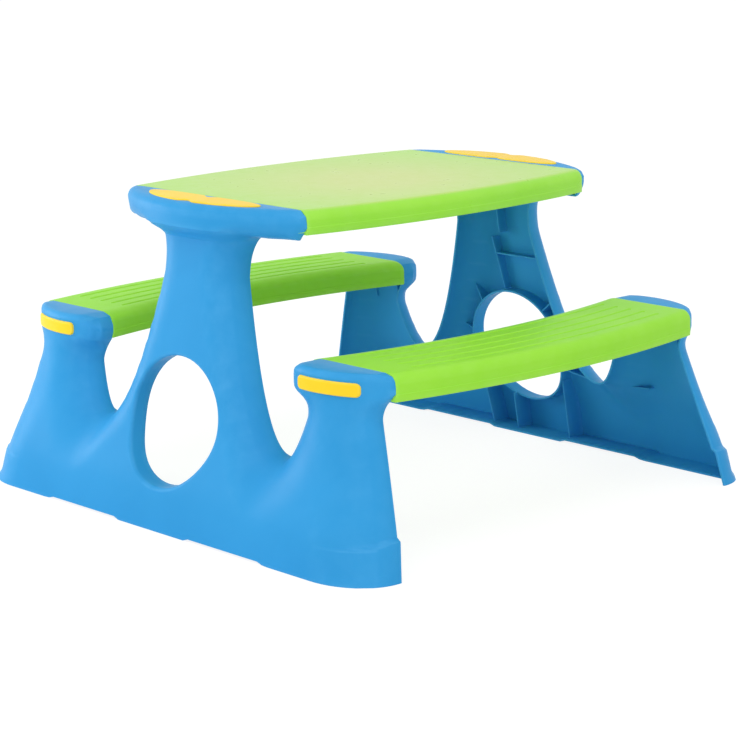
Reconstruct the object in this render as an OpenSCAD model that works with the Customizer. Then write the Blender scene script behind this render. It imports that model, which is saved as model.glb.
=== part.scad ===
// Kids' picnic table: two moulded end frames carry a tabletop and two benches.
// X runs along the benches, Y across the table, Z up. The origin is on the ground
// under the middle of the tabletop. Each end frame is open towards the table and
// has a small head over the end of every board, which slides in as a tongue and is
// held by the tabs of a coloured cap.

/* [Heights] */
// Height of the tabletop
table_height = 480; // [420:1:560]
// Height of the seats
seat_height = 278; // [250:1:310]
// Depth of the tabletop's skirt
table_skirt = 34; // [26:1:40]
// Depth of the benches' skirt
bench_skirt = 37; // [30:1:42]

/* [Boards] */
// Visible length of the tabletop between the end frames
table_length = 582; // [480:1:680]
// Width of the tabletop at its ends
table_end_width = 403; // [370:1:430]
// How far each long edge of the tabletop bows out at the middle
table_bow = 28; // [5:1:45]
// Distance from the table's centre line to a bench's inner edge, at its ends
bench_inner_y = 229; // [222:1:240]
// Width of a bench
bench_width = 176; // [150:1:200]
// How far a bench bows outwards at its middle
bench_bow = 33; // [10:1:50]
// Radius of the boards' upper edges
board_edge_radius = 14; // [6:1:18]
// Wall of the boards
board_wall = 3.5; // [2.5:0.1:4.5]
// Width of each groove along a seat
groove_width = 9; // [4:0.5:12]
// Depth of the grooves
groove_depth = 1.6; // [0.6:0.1:2]
// Distance from groove to groove
groove_pitch = 27; // [20:1:30]
// Length left plain at each end of a groove
groove_end = 50; // [20:1:90]

/* [End frame] */
// Distance between the two frames' open edges, at the ground
foot_gap = 704; // [660:1:760]
// Width over both feet
foot_width = 900; // [860:1:940]
// Wall of the end frames
frame_wall = 3; // [2:0.1:4]
// Depth of the frame's body behind its front face
body_depth = 51; // [40:1:60]
// How much deeper the frame is at the ground
base_flare = 30; // [10:1:40]
// Height at which the flare fades
flare_height = 102; // [80:1:120]
// Half the width of the column at its waist
waist_half = 82; // [70:1:95]
// How far the waist lies below the table head
waist_drop = 66; // [55:1:90]
// Height of the lowest point between column and leg
notch_height = 130; // [120:1:150]
// Distance of that point from the centre line
notch_y = 205; // [190:1:215]
// Radius of the round hole in the column
hole_radius = 97; // [70:1:98]
// Height of the hole's centre
hole_height = 159; // [150:1:170]
// Depth of the collar round the hole
collar_depth = 26; // [10:1:35]
// Height of the boot at each foot
boot_height = 57; // [40:1:70]
// How far the boot stands out
boot_step = 6; // [3:1:8]
// Ground clearance between the feet
foot_arch = 3.5; // [2:0.5:5]
// How far the ribs stop short of the frame's open edge, at the tabletop
rib_recess = 25; // [15:1:32]
// How far they stop short of it at the ground
foot_rib_recess = 43; // [30:1:55]
// Thickness of the ribs
rib_wall = 2.5; // [1.5:0.1:3.5]

/* [Heads] */
// Height of the table head
table_head_height = 44; // [38:1:52]
// Reach of the table head beyond the tabletop's end
table_head_reach = 75; // [70:1:85]
// Height of the seat heads
seat_head_height = 35; // [30:1:40]
// Reach of the seat heads beyond the bench's end
seat_head_reach = 54; // [48:1:62]
// How far the seat heads' round fronts lean inwards, per unit of reach
seat_head_lean = 0.45; // [0:0.05:0.6]
// Radius of the table head's upper edge
table_head_round = 16; // [8:1:20]
// Radius of the seat heads' upper edge
seat_head_round = 10; // [6:1:14]

/* [Caps and fits] */
// Length of a table cap across the table
table_cap_length = 248; // [200:1:270]
// Width of a table cap
table_cap_width = 54; // [44:1:58]
// Height of a table cap above the table head
table_cap_rise = 2.5; // [1.5:0.1:4]
// Length of a seat cap
seat_cap_length = 108; // [96:1:116]
// Height of a seat cap
seat_cap_height = 20; // [14:1:22]
// How far a seat cap stands out
seat_cap_rise = 3.5; // [2:0.1:5]
// Width of the tabs under the caps
tab_width = 14; // [8:1:20]
// Thickness of the tabs
tab_thickness = 4; // [3:0.5:6]
// Length of the tabs under the cap
tab_length = 14; // [11:0.5:16]
// Clearance between parts that slide together
fit_gap = 0.3; // [0.2:0.05:0.5]

/* [Hidden] */
BLUE = [0.23, 0.62, 0.86];
GREEN = [0.60, 0.88, 0.22];
YELLOW = [1.0, 0.84, 0.19];
CUT = 1;                      // how far a cutting shape runs past a face
SMOOTH = 96;                  // facets of a full circle
FAR = 600;                    // beyond every part

// Planes where the boards meet the frames
table_joint = table_length / 2;
head_bottom = table_height - table_head_height;
seat_bottom = seat_height - seat_head_height;
waist_height = head_bottom - waist_drop;
rim_setback = 5.5;            // the column's open edge lies this far inside the table joint
seat_setback = 1;             // and this far inside the benches' joint
rim_foot = foot_gap / 2;
rim_slope = (rim_foot - table_joint + rim_setback) / (table_height - table_head_height / 2);
bench_joint = rim_x(seat_height - seat_head_height / 2) + seat_setback;

// Outline of the end frame, as half-widths at a height
flare_run = 21;
bench_outer_y = bench_inner_y + bench_width;
neck_height = 203;            // where a leg's inner edge lies furthest out
neck_inner = bench_inner_y + 21;
neck_outer = bench_outer_y - 23.5;
neck_top = seat_bottom - 31;  // start of the fillet under the seat head
notch_flat = 2;               // half of the flat at the bottom of a notch
foot_line = foot_width / 2 + 1.5;
column_fillet = 50;
column_lean = 14;             // how far the column's front leans out under the table head
corner_round = 88;            // how far the front rounds off towards a leg's outer edge
side_round = 50;              // and towards the column's and legs' inner edges
edge_share = 0.07;            // share of the depth that is straight wall at an edge
offset_share = 0.8;           // share of an offset taken along each axis

// Inside the frame
head_under = 10;              // radius of the table head's lower edge
floor_strip = 52;             // width of the strip along the bottom of the front
arch_start = 80;              // the frame stands clear of the ground from here
arch_end = 255;               // to here, on each side
bar_drop = 55;                // the column's crossbar lies this far below the waist
bar_reach = 28;               // the ribs beside the crossbar run this far past it
pad_offset = 28;              // distance from a bench's middle to the ribs that carry it
pad_rib_length = 45;          // length of those ribs below a seat head
outer_rib = 86;               // ribs below the hole: distances from the middle
inner_rib = 32;
slant_rib = [88, 102];        // at the ground and at its upper end
top_rib = 17;                 // rib under the table head
bar_ribs = [20, 36, 54];      // ribs above the hole
radial_turns = [10, 46];      // angles of the ribs that leave the hole's collar
radial_reach = 62;            // how far they reach
gusset = [8, 92, -14, 4];     // rib under a notch: from and to, beside and above its lowest point

// Caps
cap_inset = 6;                // from the tabletop's end to a table cap
waist_share = 0.3;            // share of a table cap's width lost at its waist
waist_run = 8;                // how far the waist spreads along the cap
table_tab_y = 60;
seat_tab_y = 35;
seat_cap_z = seat_height - 22;

// Rows of points
STEP = 0.05;                  // height of an abrupt step in a loft
THIN = 0.5;                   // least depth of a head at its ends
COLUMN_STEPS = 7;
LEG_STEPS = 6;

function rim_x(z) = rim_foot - z * rim_slope;
function body_x(z, inset) =
    rim_x(z) + body_depth + base_flare / (1 + exp((z - flare_height) / flare_run)) - inset;
function ease(d, r) = d >= r ? 1 : d <= 0 ? 0 : sqrt(1 - pow(1 - d / r, 2));
function arc_rise(u) = u <= 0 ? 0 : u >= 1 ? 1 : 1 - sqrt(1 - u * u);
function clamp(v, low, high) = max(low, min(high, v));

// Half-width of the column: a root curve from the notch up to the waist, then the
// fillet under the table head, then the head itself
function column_edge(z) =
    z >= head_bottom ? table_end_width / 2 :
    z >= head_bottom - column_fillet ?
        waist_half + column_fillet * arc_rise((z - head_bottom + column_fillet) / column_fillet) :
    z >= waist_height ? waist_half :
    notch_y - notch_flat
        - (notch_y - notch_flat - waist_half)
        * sqrt(clamp((z - notch_height) / (waist_height - notch_height), 0, 1));
function leg_inner_edge(z) =
    z >= seat_bottom ? bench_inner_y :
    z >= neck_height ?
        neck_inner - (neck_inner - bench_inner_y) * pow((z - neck_height) / (seat_bottom - neck_height), 1.7) :
    notch_y + notch_flat
        + (neck_inner - notch_y - notch_flat)
        * pow(clamp((z - notch_height) / (neck_height - notch_height), 0, 1), 0.52);
function leg_line(z) = foot_line - (foot_line - neck_outer) * z / neck_top;
function leg_outer_edge(z) =
    z >= seat_bottom ? bench_outer_y :
    z >= neck_top ? neck_outer + (bench_outer_y - neck_outer) * arc_rise((z - neck_top) / (seat_bottom - neck_top)) :
    z > boot_height ? leg_line(z) :
    foot_width / 2 - (foot_width / 2 - leg_line(boot_height) - boot_step) * z / boot_height;

// The same edges moved into the material
function column_inset(z, t) =
    min(column_edge(z + offset_share * t), column_edge(z - offset_share * t)) - offset_share * t;
function leg_inner_inset(z, t) =
    max(leg_inner_edge(z + offset_share * t), leg_inner_edge(z - offset_share * t)) + offset_share * t;
function leg_outer_inset(z, t) =
    min(leg_outer_edge(z + offset_share * t), leg_outer_edge(z - offset_share * t)) - t;

// Front face: full depth in the middle, rounded off towards every edge of the outline.
// Below a notch the distance to its floor decides.
function notch_floor(y) =
    abs(y) < notch_y ?
        notch_height + (waist_height - notch_height)
            * pow(max(0, notch_y - notch_flat - abs(y)) / (notch_y - notch_flat - waist_half), 2) :
        notch_height + (neck_height - notch_height)
            * pow(max(0, abs(y) - notch_y - notch_flat) / (neck_inner - notch_y - notch_flat), 1 / 0.52);
function two_way(across, up) =
    across <= 0 || up <= 0 ? 0 : across * up / sqrt(across * across + up * up);
function shaped(share) = edge_share + (1 - edge_share) * share;
function column_front(y, z, t) =
    let (edge = two_way(column_inset(z, t) - abs(y), z > waist_height ? FAR : notch_floor(y) - t - z))
    rim_x(z) + (body_x(z, t) - rim_x(z)
        + max(0, column_lean - t) * arc_rise((z - head_bottom + column_fillet) / column_fillet))
        * shaped(ease(edge, side_round - t));
function leg_front(y, z, t) =
    let (edge = two_way(y - leg_inner_inset(z, t), z > neck_height ? FAR : notch_floor(y) - t - z))
    rim_x(z) + (body_x(z, t) - rim_x(z))
        * shaped(ease(edge, side_round - t) * ease(leg_outer_inset(z, t) - y, corner_round - t));
function base_front(y, z, t) =
    rim_x(z) + (body_x(z, t) - rim_x(z))
        * shaped(ease(notch_floor(y) - t - z, side_round - t)
            * ease(leg_outer_inset(z, t) - abs(y), corner_round - t));

// Plan of the heads: a shallow arc for the table, nearly half an ellipse for a seat
head_corner = 9;
head_half = table_end_width / 2;
head_sag = table_head_reach - head_corner;
head_arc = (head_half * head_half + head_sag * head_sag) / (2 * head_sag);
function table_head_front(y, inset) =
    table_joint + max(THIN, head_corner + sqrt(head_arc * head_arc - y * y) - head_arc + head_sag - inset);
seat_mid = bench_inner_y + bench_width / 2;
// Half an ellipse in plan that leans inwards, solved for its reach at a place y
function seat_head_front(y, inset) =
    let (half = bench_width / 2 - inset, reach = seat_head_reach - inset, off = y - seat_mid,
        a = pow(seat_head_lean / half, 2) + 1 / (reach * reach),
        b = seat_head_lean * off / (half * half),
        c = off * off / (half * half) - 1)
    bench_joint + max(THIN, (sqrt(max(0, b * b - a * c)) - b) / a);
function round_inset(z, top, r) = z <= top - r ? 0 : r - sqrt(max(0, r * r - pow(z - top + r, 2)));

// Points across a section, closer together towards its edges
function spread(low, high, steps) =
    [for (k = [-steps:steps]) (low + high) / 2 + (high - low) / 2 * sin(90 * k / steps)];

// A section is its front row from low to high y, then its straight back row
function section(row, back_x, z) =
    concat([for (p = row) [p.x, p.y, z]], [for (k = [len(row) - 1:-1:0]) [back_x, row[k].y, z]]);
function column_ring(z, t, back) =
    let (w = column_inset(z, t))
    section([for (y = spread(-w, w, COLUMN_STEPS)) [column_front(y, z, t), y]], rim_x(z) - back, z);
function table_head_ring(z, t, back) =
    let (under = clamp((head_bottom + head_under - z) / head_under, 0, 1),
        cut = t + round_inset(z, table_height - t, table_head_round - t) + head_under * arc_rise(under),
        w = head_half - cut)
    section([for (y = spread(-w, w, COLUMN_STEPS)) [table_head_front(y, cut), y]], table_joint - back, z);
function leg_ring(z, t, back) =
    let (a = leg_inner_inset(z, t), b = leg_outer_inset(z, t))
    section([for (y = spread(a, b, LEG_STEPS)) [leg_front(y, z, t), y]], rim_x(z) - back, z);
function seat_head_ring(z, t, back) =
    let (cut = t + round_inset(z, seat_height - t, seat_head_round - t),
        a = bench_inner_y + cut, b = bench_outer_y - cut)
    section([for (y = spread(a, b, LEG_STEPS)) [seat_head_front(y, cut), y]], bench_joint - back, z);
function base_ring(z, t, back) =
    let (w = leg_outer_inset(z, t), top = leg_outer_inset(notch_height, t),
        leg = spread(notch_y + notch_flat, top, LEG_STEPS),
        mid = notch_y - notch_flat,
        row = concat([for (k = [len(leg) - 1:-1:0]) -leg[k]], spread(-mid, mid, COLUMN_STEPS), leg))
    section([for (y = row) [base_front(y * w / top, z, t), y * w / top]], rim_x(z) - back, z);

// A solid through sections that hold the same number of points, listed from below
module loft(rings) {
    n = len(rings[0]);
    m = len(rings);
    top = (m - 1) * n;
    faces = concat(
        [for (i = [0:n / 2 - 2]) [i, i + 1, n - 2 - i, n - 1 - i]],
        [for (i = [0:n / 2 - 2]) [top + n - 1 - i, top + n - 2 - i, top + i + 1, top + i]],
        [for (j = [0:m - 2], i = [0:n - 1]) [j * n + i, j * n + n + i, j * n + n + (i + 1) % n]],
        [for (j = [0:m - 2], i = [0:n - 1]) [j * n + i, j * n + n + (i + 1) % n, j * n + (i + 1) % n]]);
    polyhedron(points = [for (ring = rings) each ring], faces = faces, convexity = 8);
}

function steps(low, high, n, power) = [for (i = [1:n]) low + (high - low) * pow(i / n, power)];
function arc_steps(low, high, n) = [for (i = [1:n]) low + (high - low) * sin(90 * i / n)];

// Blocks of the end frame at +X. With t = 0 they give its outside, with t = frame_wall its cavity.
module base_block(t, floor_z, back) {
    levels = concat([floor_z], steps(floor_z, boot_height, 3, 1),
        [boot_height + 0.5], steps(boot_height + 0.5, notch_height - t, 6, 0.7));
    loft([for (z = levels) base_ring(z, t, back)]);
}

module column_block(t, back) {
    head_floor = head_bottom + offset_share * t;
    levels = concat([notch_height - t], steps(notch_height - t, waist_height, 10, 2),
        arc_steps(head_bottom - column_fillet, head_floor - STEP, 5));
    head = concat([head_bottom + t, head_bottom + t + 3, head_bottom + head_under],
        arc_steps(table_height - table_head_round, table_height - t, 4));
    loft(concat([for (z = levels) column_ring(z, t, back)],
        [for (z = head) table_head_ring(z, t, back)]));
}

module leg_block(t, back) {
    levels = concat([notch_height - t], steps(notch_height - t, neck_height, 7, 2),
        arc_steps(neck_height, seat_bottom - STEP, 4));
    head = concat([seat_bottom + STEP], arc_steps(seat_height - seat_head_round, seat_height - t, 4));
    loft(concat([for (z = levels) leg_ring(z, t, back)],
        [for (z = head) seat_head_ring(z, t, back)]));
}

module frame_block(t, floor_z, back) {
    base_block(t, floor_z, back);
    column_block(t, back);
    leg_block(t, back);
    mirror([0, 1, 0]) leg_block(t, back);
}

// Everything of a frame that lies deeper than a line from one height to another
module deeper_than(x_low, z_low, x_high, z_high) {
    rotate([90, 0, 0])
        linear_extrude(2 * FAR, center = true)
            polygon([[x_low, z_low], [FAR, z_low], [FAR, z_high], [x_high, z_high]]);
}

// A plate across the cavity, between two points of the front view
module rib(y1, z1, y2, z2) {
    hull()
        for (p = [[y1, z1], [y2, z2]])
            translate([0, p.x, p.y]) rotate([0, 90, 0]) cylinder(d = rib_wall, h = FAR, $fn = 8);
}

module ribs() {
    over_hole = hole_height + hole_radius;
    bar_height = waist_height - bar_drop;
    seat_in = hole_radius - frame_wall / 2;
    intersection() {
        deeper_than(rim_x(0) + foot_rib_recess, 0, rim_x(table_height) + rib_recess, table_height);
        union() {
            rib(-outer_rib, 0, -outer_rib, hole_height - hole_radius / 2);
            rib(inner_rib, 0, inner_rib, hole_height - hole_radius * 0.9);
            rib(slant_rib[0], 0, slant_rib[1], hole_height - hole_radius * 0.55);
            rib(bar_ribs[0], over_hole - 4, bar_ribs[1], bar_height + bar_reach);
            rib(-outer_rib, over_hole - 30, -bar_ribs[2], bar_height + bar_reach);
            rib(bar_ribs[1] - 8, bar_height, -bar_ribs[2] - 8, bar_height);
            rib(top_rib, waist_height - bar_drop / 3, top_rib, head_bottom + frame_wall);
            for (side = [-1, 1], turn = radial_turns)
                rib(side * seat_in * cos(turn), hole_height + seat_in * sin(turn),
                    side * (hole_radius + radial_reach) * cos(turn),
                    hole_height + (hole_radius + radial_reach) * sin(turn));
            for (side = [-1, 1]) {
                rib(side * (notch_y + gusset[0]), notch_height + gusset[2],
                    side * (notch_y + gusset[1]), notch_height + gusset[3]);
                for (y = [seat_mid - pad_offset, seat_mid + pad_offset])
                    rib(side * y, seat_bottom - pad_rib_length, side * y, seat_bottom + frame_wall);
            }
        }
    }
}

// The tube round the hole, which reaches collar_depth behind the front face
module collar() {
    low = hole_height - hole_radius;
    high = hole_height + hole_radius;
    slope = (body_x(high, 0) - body_x(low, 0)) / (high - low);
    start = body_x(low, 0) - collar_depth;
    intersection() {
        translate([0, 0, hole_height]) rotate([0, 90, 0])
            cylinder(r = hole_radius + frame_wall, h = FAR, $fn = SMOOTH);
        deeper_than(start - 20 * slope, low - 20, start + (high - low + 20) * slope, high + 20);
    }
}

// The tabs under the caps, and with a clearance the slots that they pass through
module table_tabs(gap, low, high) {
    for (y = [-table_tab_y, table_tab_y])
        translate([table_cap_x(y) - (tab_thickness + gap) / 2, y - (tab_width + gap) / 2, low])
            cube([tab_thickness + gap, tab_width + gap, high - low]);
}

// Both tabs of a seat cap, from a depth below the head's front to an inset outside it
module seat_tabs(gap, depth, outset) {
    for (y = [seat_mid - seat_tab_y, seat_mid + seat_tab_y]) {
        low = seat_head_front(y, depth);
        translate([low, y - (tab_width + gap) / 2, seat_cap_z - (tab_thickness + gap) / 2])
            cube([seat_head_front(y, -outset) - low, tab_width + gap, tab_thickness + gap]);
    }
}

module table_slots() { table_tabs(2 * fit_gap, head_bottom + frame_wall + tab_length, table_height + CUT); }
module seat_slots() { seat_tabs(2 * fit_gap, tab_length + 2, 8); }

module end_frame() {
    floor_top = foot_arch + frame_wall;
    strip_x = rim_x(0) + body_depth + base_flare - floor_strip;
    difference() {
        frame_block(0, 0, 0);
        difference() {
            frame_block(frame_wall, floor_top, CUT);
            ribs();
            collar();
        }
        translate([0, 0, hole_height]) rotate([0, 90, 0]) cylinder(r = hole_radius, h = FAR, $fn = SMOOTH);
        table_slots();
        seat_slots();
        mirror([0, 1, 0]) seat_slots();
        // open underneath, behind the strip along the front
        translate([rim_x(0) - 2 * CUT, -foot_width / 2 + 2 * frame_wall, -CUT])
            cube([strip_x - rim_x(0) + 2 * CUT, foot_width - 4 * frame_wall, floor_top + 2 * CUT]);
        // raised between the feet and the middle
        for (side = [-1, 1])
            translate([0, side > 0 ? arch_start : -arch_end, -CUT])
                cube([FAR, arch_end - arch_start, foot_arch + CUT]);
    }
}

// Points of a board's rounded upper edge
function rounded_top(right, top, r) =
    [for (a = [0:15:90]) [right - r + r * cos(a), top - r + r * sin(a)]];

// One of the two large discs whose overlap is the tabletop's outline
module bowed_disc(side, extra, low, top, r) {
    radius = (table_joint * table_joint + table_bow * table_bow) / (2 * table_bow);
    translate([0, side * (table_end_width / 2 + table_bow - radius), 0])
        rotate_extrude($fn = 4 * SMOOTH)
            polygon(concat([[0, top], [0, low], [radius + extra, low]], rounded_top(radius + extra, top, r)));
}

module tabletop() {
    skirt_z = table_height - table_skirt;
    end_x = table_joint - fit_gap;
    inside_r = max(1, board_edge_radius - board_wall);
    color(GREEN) difference() {
        union() {
            difference() {
                intersection() {
                    bowed_disc(-1, 0, skirt_z, table_height, board_edge_radius);
                    bowed_disc(1, 0, skirt_z, table_height, board_edge_radius);
                    translate([-end_x, -FAR, 0]) cube([2 * end_x, 2 * FAR, FAR]);
                }
                intersection() {
                    bowed_disc(-1, -board_wall, skirt_z - CUT, table_height - board_wall, inside_r);
                    bowed_disc(1, -board_wall, skirt_z - CUT, table_height - board_wall, inside_r);
                    translate([-end_x + board_wall, -FAR, 0]) cube([2 * (end_x - board_wall), 2 * FAR, FAR]);
                }
            }
            for (turn = [0, 180]) rotate([0, 0, turn]) table_tongue();
            table_ribs(skirt_z);
        }
        table_slots();
        mirror([1, 0, 0]) table_slots();
    }
}

// The end of the tabletop inside a table head
module table_tongue() {
    outer = frame_wall + fit_gap;
    inner = outer + board_wall;
    back = fit_gap + board_wall;
    levels = concat([head_bottom + outer, head_bottom + outer + 3, head_bottom + head_under + outer],
        arc_steps(table_height - table_head_round, table_height - outer, 4));
    hollow = concat([head_bottom, head_bottom + head_under + outer],
        arc_steps(table_height - table_head_round, table_height - inner, 4));
    difference() {
        loft([for (z = levels) table_head_ring(z, outer, back)]);
        loft([for (z = hollow) table_head_ring(z, inner, -THIN / 2)]);
    }
}

module table_ribs(skirt_z) {
    long = 2 * (table_joint - fit_gap - board_wall / 2);
    low = table_height - table_skirt + 8;
    for (y = [-70, 70])
        translate([-long / 2, y - rib_wall / 2, low]) cube([long, rib_wall, table_height - board_wall / 2 - low]);
    for (k = [-2:2])
        translate([k * table_joint / 3 - rib_wall / 2, -table_end_width / 2, low])
            cube([rib_wall, table_end_width, table_height - board_wall / 2 - low]);
}

// The bench at +Y is a slice of a large ring, so its edges and grooves share one centre
bench_radius = (bench_joint * bench_joint + bench_bow * bench_bow) / (2 * bench_bow);
bench_centre_y = bench_outer_y - sqrt(bench_radius * bench_radius - bench_joint * bench_joint);
bench_inner_radius = norm([bench_joint, bench_inner_y - bench_centre_y]);

// The ring with its walls moved inwards by cut, between the planes |x| = reach
module bench_ring(cut, low, r, reach) {
    top = seat_height - cut;
    left = bench_inner_radius + cut;
    right = bench_radius - cut;
    arc = rounded_top(0, top, r);
    ring_slice(reach)
        polygon(concat([[left, low], [right, low]], [for (p = arc) [right + p.x, p.y]],
            [for (k = [len(arc) - 1:-1:0]) [left - arc[k].x, arc[k].y]]));
}

module ring_slice(reach) {
    intersection() {
        translate([0, bench_centre_y, 0]) rotate_extrude($fn = 8 * SMOOTH) children();
        translate([-reach, 0, 0]) cube([2 * reach, FAR, FAR]);
    }
}

module bench() {
    skirt_z = seat_height - bench_skirt;
    end_x = bench_joint - fit_gap;
    inside_r = max(1, board_edge_radius - board_wall);
    difference() {
        union() {
            difference() {
                bench_ring(0, skirt_z, board_edge_radius, end_x);
                bench_ring(board_wall, skirt_z - CUT, inside_r, end_x - board_wall / 2);
                grooves();
            }
            bench_ribs(skirt_z);
            bench_tongue();
            mirror([1, 0, 0]) bench_tongue();
        }
        seat_slots();
        mirror([1, 0, 0]) seat_slots();
    }
}

module grooves() {
    middle = (bench_radius + bench_inner_radius) / 2;
    half = groove_width / 2;
    for (k = [-2:2])
        ring_slice(bench_joint - groove_end)
            translate([middle + k * groove_pitch, seat_height])
                polygon([[-half, CUT], [-half, 0], [-half / 2, -groove_depth],
                    [half / 2, -groove_depth], [half, 0], [half, CUT]]);
}

module bench_ribs(skirt_z) {
    middle = (bench_radius + bench_inner_radius) / 2;
    low = skirt_z + 8;
    high = seat_height - groove_depth - (board_wall - groove_depth) / 2;
    ring_slice(bench_joint - board_wall / 2)
        translate([middle - rib_wall / 2, low]) square([rib_wall, high - low]);
    intersection() {
        bench_ring(board_wall / 2, low - CUT, board_edge_radius - board_wall / 2, bench_joint);
        for (k = [-2:2])
            translate([k * bench_joint / 3 - rib_wall / 2, 0, low]) cube([rib_wall, FAR, high - low]);
    }
}

// The end of a bench inside a seat head
module bench_tongue() {
    outer = frame_wall + fit_gap;
    inner = outer + board_wall;
    levels = concat([seat_bottom + outer], arc_steps(seat_height - seat_head_round, seat_height - outer, 4));
    hollow = concat([seat_bottom], arc_steps(seat_height - seat_head_round, seat_height - inner, 4));
    difference() {
        loft([for (z = levels) seat_head_ring(z, outer, fit_gap + board_wall / 4)]);
        loft([for (z = hollow) seat_head_ring(z, inner, -THIN / 2)]);
    }
}

// Two-lobed cap on the table head: straight towards the tabletop, bent with the head's
// front, and drawn in on both sides at the middle
function cap_width(y) = table_cap_width - y * y / (2 * head_arc);
function table_cap_x(y) = table_joint + cap_inset + cap_width(y) / 2;
function cap_half(y) =
    cap_width(y) / 2 * sqrt(max(0, 1 - pow(abs(2 * y / table_cap_length), 6)))
        * (1 - waist_share * exp(-y * y / (2 * waist_run * waist_run)));

module table_cap() {
    half = table_cap_length / 2;
    row = [for (k = [-24:24]) half * sin(90 * k / 24)];
    color(YELLOW) {
        translate([0, 0, table_height])
            linear_extrude(table_cap_rise)
                polygon(concat([for (y = row) [table_cap_x(y) + cap_half(y), y]],
                    [for (k = [len(row) - 2:-1:1]) [table_cap_x(row[k]) - cap_half(row[k]), row[k]]]));
        table_tabs(0, table_height - tab_length, table_height + table_cap_rise / 2);
    }
}

// Bar that follows the round front of a seat head
module seat_cap() {
    half = seat_cap_length / 2;
    row = [for (k = [-10:10]) seat_mid + half * k / 10];
    color(YELLOW) {
        intersection() {
            linear_extrude(FAR)
                polygon(concat([for (y = row) [seat_head_front(y, -seat_cap_rise - 0.1), y]],
                    [for (k = [len(row) - 1:-1:0]) [seat_head_front(row[k], -0.2), row[k]]]));
            translate([0, seat_mid, seat_cap_z]) rotate([90, 0, 90])
                linear_extrude(FAR) pill(seat_cap_length, seat_cap_height, 7);
        }
        seat_tabs(0, tab_length, seat_cap_rise / 4);
    }
}

module pill(length, height, r) {
    square([length - 2 * r, height], center = true);
    square([length, height - 2 * r], center = true);
    for (x = [-1, 1], y = [-1, 1])
        translate([x * (length / 2 - r), y * (height / 2 - r)]) circle(r = r, $fn = 32);
}

module left_end_frame() { color(BLUE) rotate([0, 0, 180]) end_frame(); }
module right_end_frame() { color(BLUE) end_frame(); }
module rear_bench() { color(GREEN) bench(); }
module front_bench() { color(GREEN) rotate([0, 0, 180]) bench(); }
module left_table_cap() { rotate([0, 0, 180]) table_cap(); }
module right_table_cap() { table_cap(); }
module rear_right_seat_cap() { seat_cap(); }
module rear_left_seat_cap() { mirror([1, 0, 0]) seat_cap(); }
module front_left_seat_cap() { rotate([0, 0, 180]) seat_cap(); }
module front_right_seat_cap() { mirror([0, 1, 0]) seat_cap(); }

left_end_frame();
right_end_frame();
tabletop();
front_bench();
rear_bench();
left_table_cap();
right_table_cap();
front_left_seat_cap();
front_right_seat_cap();
rear_left_seat_cap();
rear_right_seat_cap();
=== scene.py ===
"""Kids' picnic table of moulded plastic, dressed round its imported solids.

X runs along the benches, Y across the table and Z up, all in metres. Two blue end
frames, open towards the table, carry a lime tabletop and a lime bench on each side.
Yellow caps lock the ends of the boards in the heads of the frames.
"""

import logging
import math
from dataclasses import dataclass, field, replace
from enum import Enum
from typing import Callable, Sequence

import bmesh
import bpy
import numpy as np
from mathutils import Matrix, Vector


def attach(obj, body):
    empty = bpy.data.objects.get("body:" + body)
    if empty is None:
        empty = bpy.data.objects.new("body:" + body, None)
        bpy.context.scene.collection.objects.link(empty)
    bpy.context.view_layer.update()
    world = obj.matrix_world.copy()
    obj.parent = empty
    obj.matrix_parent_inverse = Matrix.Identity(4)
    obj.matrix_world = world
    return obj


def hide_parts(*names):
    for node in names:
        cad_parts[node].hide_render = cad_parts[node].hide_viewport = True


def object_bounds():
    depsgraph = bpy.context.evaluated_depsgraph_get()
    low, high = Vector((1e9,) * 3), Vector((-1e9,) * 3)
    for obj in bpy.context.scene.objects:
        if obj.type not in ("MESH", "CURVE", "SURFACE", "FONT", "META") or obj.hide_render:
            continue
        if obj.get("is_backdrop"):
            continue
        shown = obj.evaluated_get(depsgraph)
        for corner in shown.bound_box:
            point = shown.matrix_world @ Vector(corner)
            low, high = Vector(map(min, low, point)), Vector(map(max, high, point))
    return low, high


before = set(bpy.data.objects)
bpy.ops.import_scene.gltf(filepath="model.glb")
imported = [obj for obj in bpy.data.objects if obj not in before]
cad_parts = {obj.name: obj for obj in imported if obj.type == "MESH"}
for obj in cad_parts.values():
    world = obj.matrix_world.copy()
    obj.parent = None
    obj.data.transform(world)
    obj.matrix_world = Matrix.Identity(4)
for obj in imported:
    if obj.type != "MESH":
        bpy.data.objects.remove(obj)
log = logging.getLogger("picnic_table")

Array = np.ndarray
Value = Array | float
Pair = tuple[float, float]
Triple = tuple[float, float, float]
Colour = Triple
Spot = tuple[Value, Value, Value]
Line = Callable[[Array], Array]
Move = Callable[[Array, Array, Array], Spot]
Test = Callable[[Array, Array, Array], Array]

WEAR = "edge_wear"
TOUCH = 3e-5  # a point nearer than this to a line or plane lies on it
HAIR = 1e-4  # more than any error of the operators
THIN = 0.0005  # least depth of a head at its ends
QUARTER = np.radians(np.linspace(0.0, 90.0, 9))
ALONG = np.linspace(0.0, 1.0, 25)


def stack(*axes: Value) -> Array:
    """Stacks coordinates into one row for each point."""
    return np.stack(np.broadcast_arrays(*axes), 1)


def ease(distance: Array, reach: float) -> Array:
    """Quarter of an ellipse: 0 at an edge, 1 from reach inwards."""
    share = np.clip(distance / reach, 0.0, 1.0)
    return np.sqrt(1.0 - (1.0 - share) ** 2)


def edge_drop(distance: Array, radius: float) -> Array:
    """How far a rounded edge lies behind the face, by distance from the edge."""
    return radius * (1.0 - ease(distance, radius))


def arc_rise(share: Array) -> Array:
    """Quarter circle that starts level and ends upright."""
    return 1.0 - np.sqrt(1.0 - np.clip(share, 0.0, 1.0) ** 2)


def fade(value: Array, start: float, end: float) -> Array:
    """Smooth step from 0 at start to 1 at end."""
    share = np.clip((value - start) / (end - start), 0.0, 1.0)
    return share * share * (3.0 - 2.0 * share)


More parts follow.
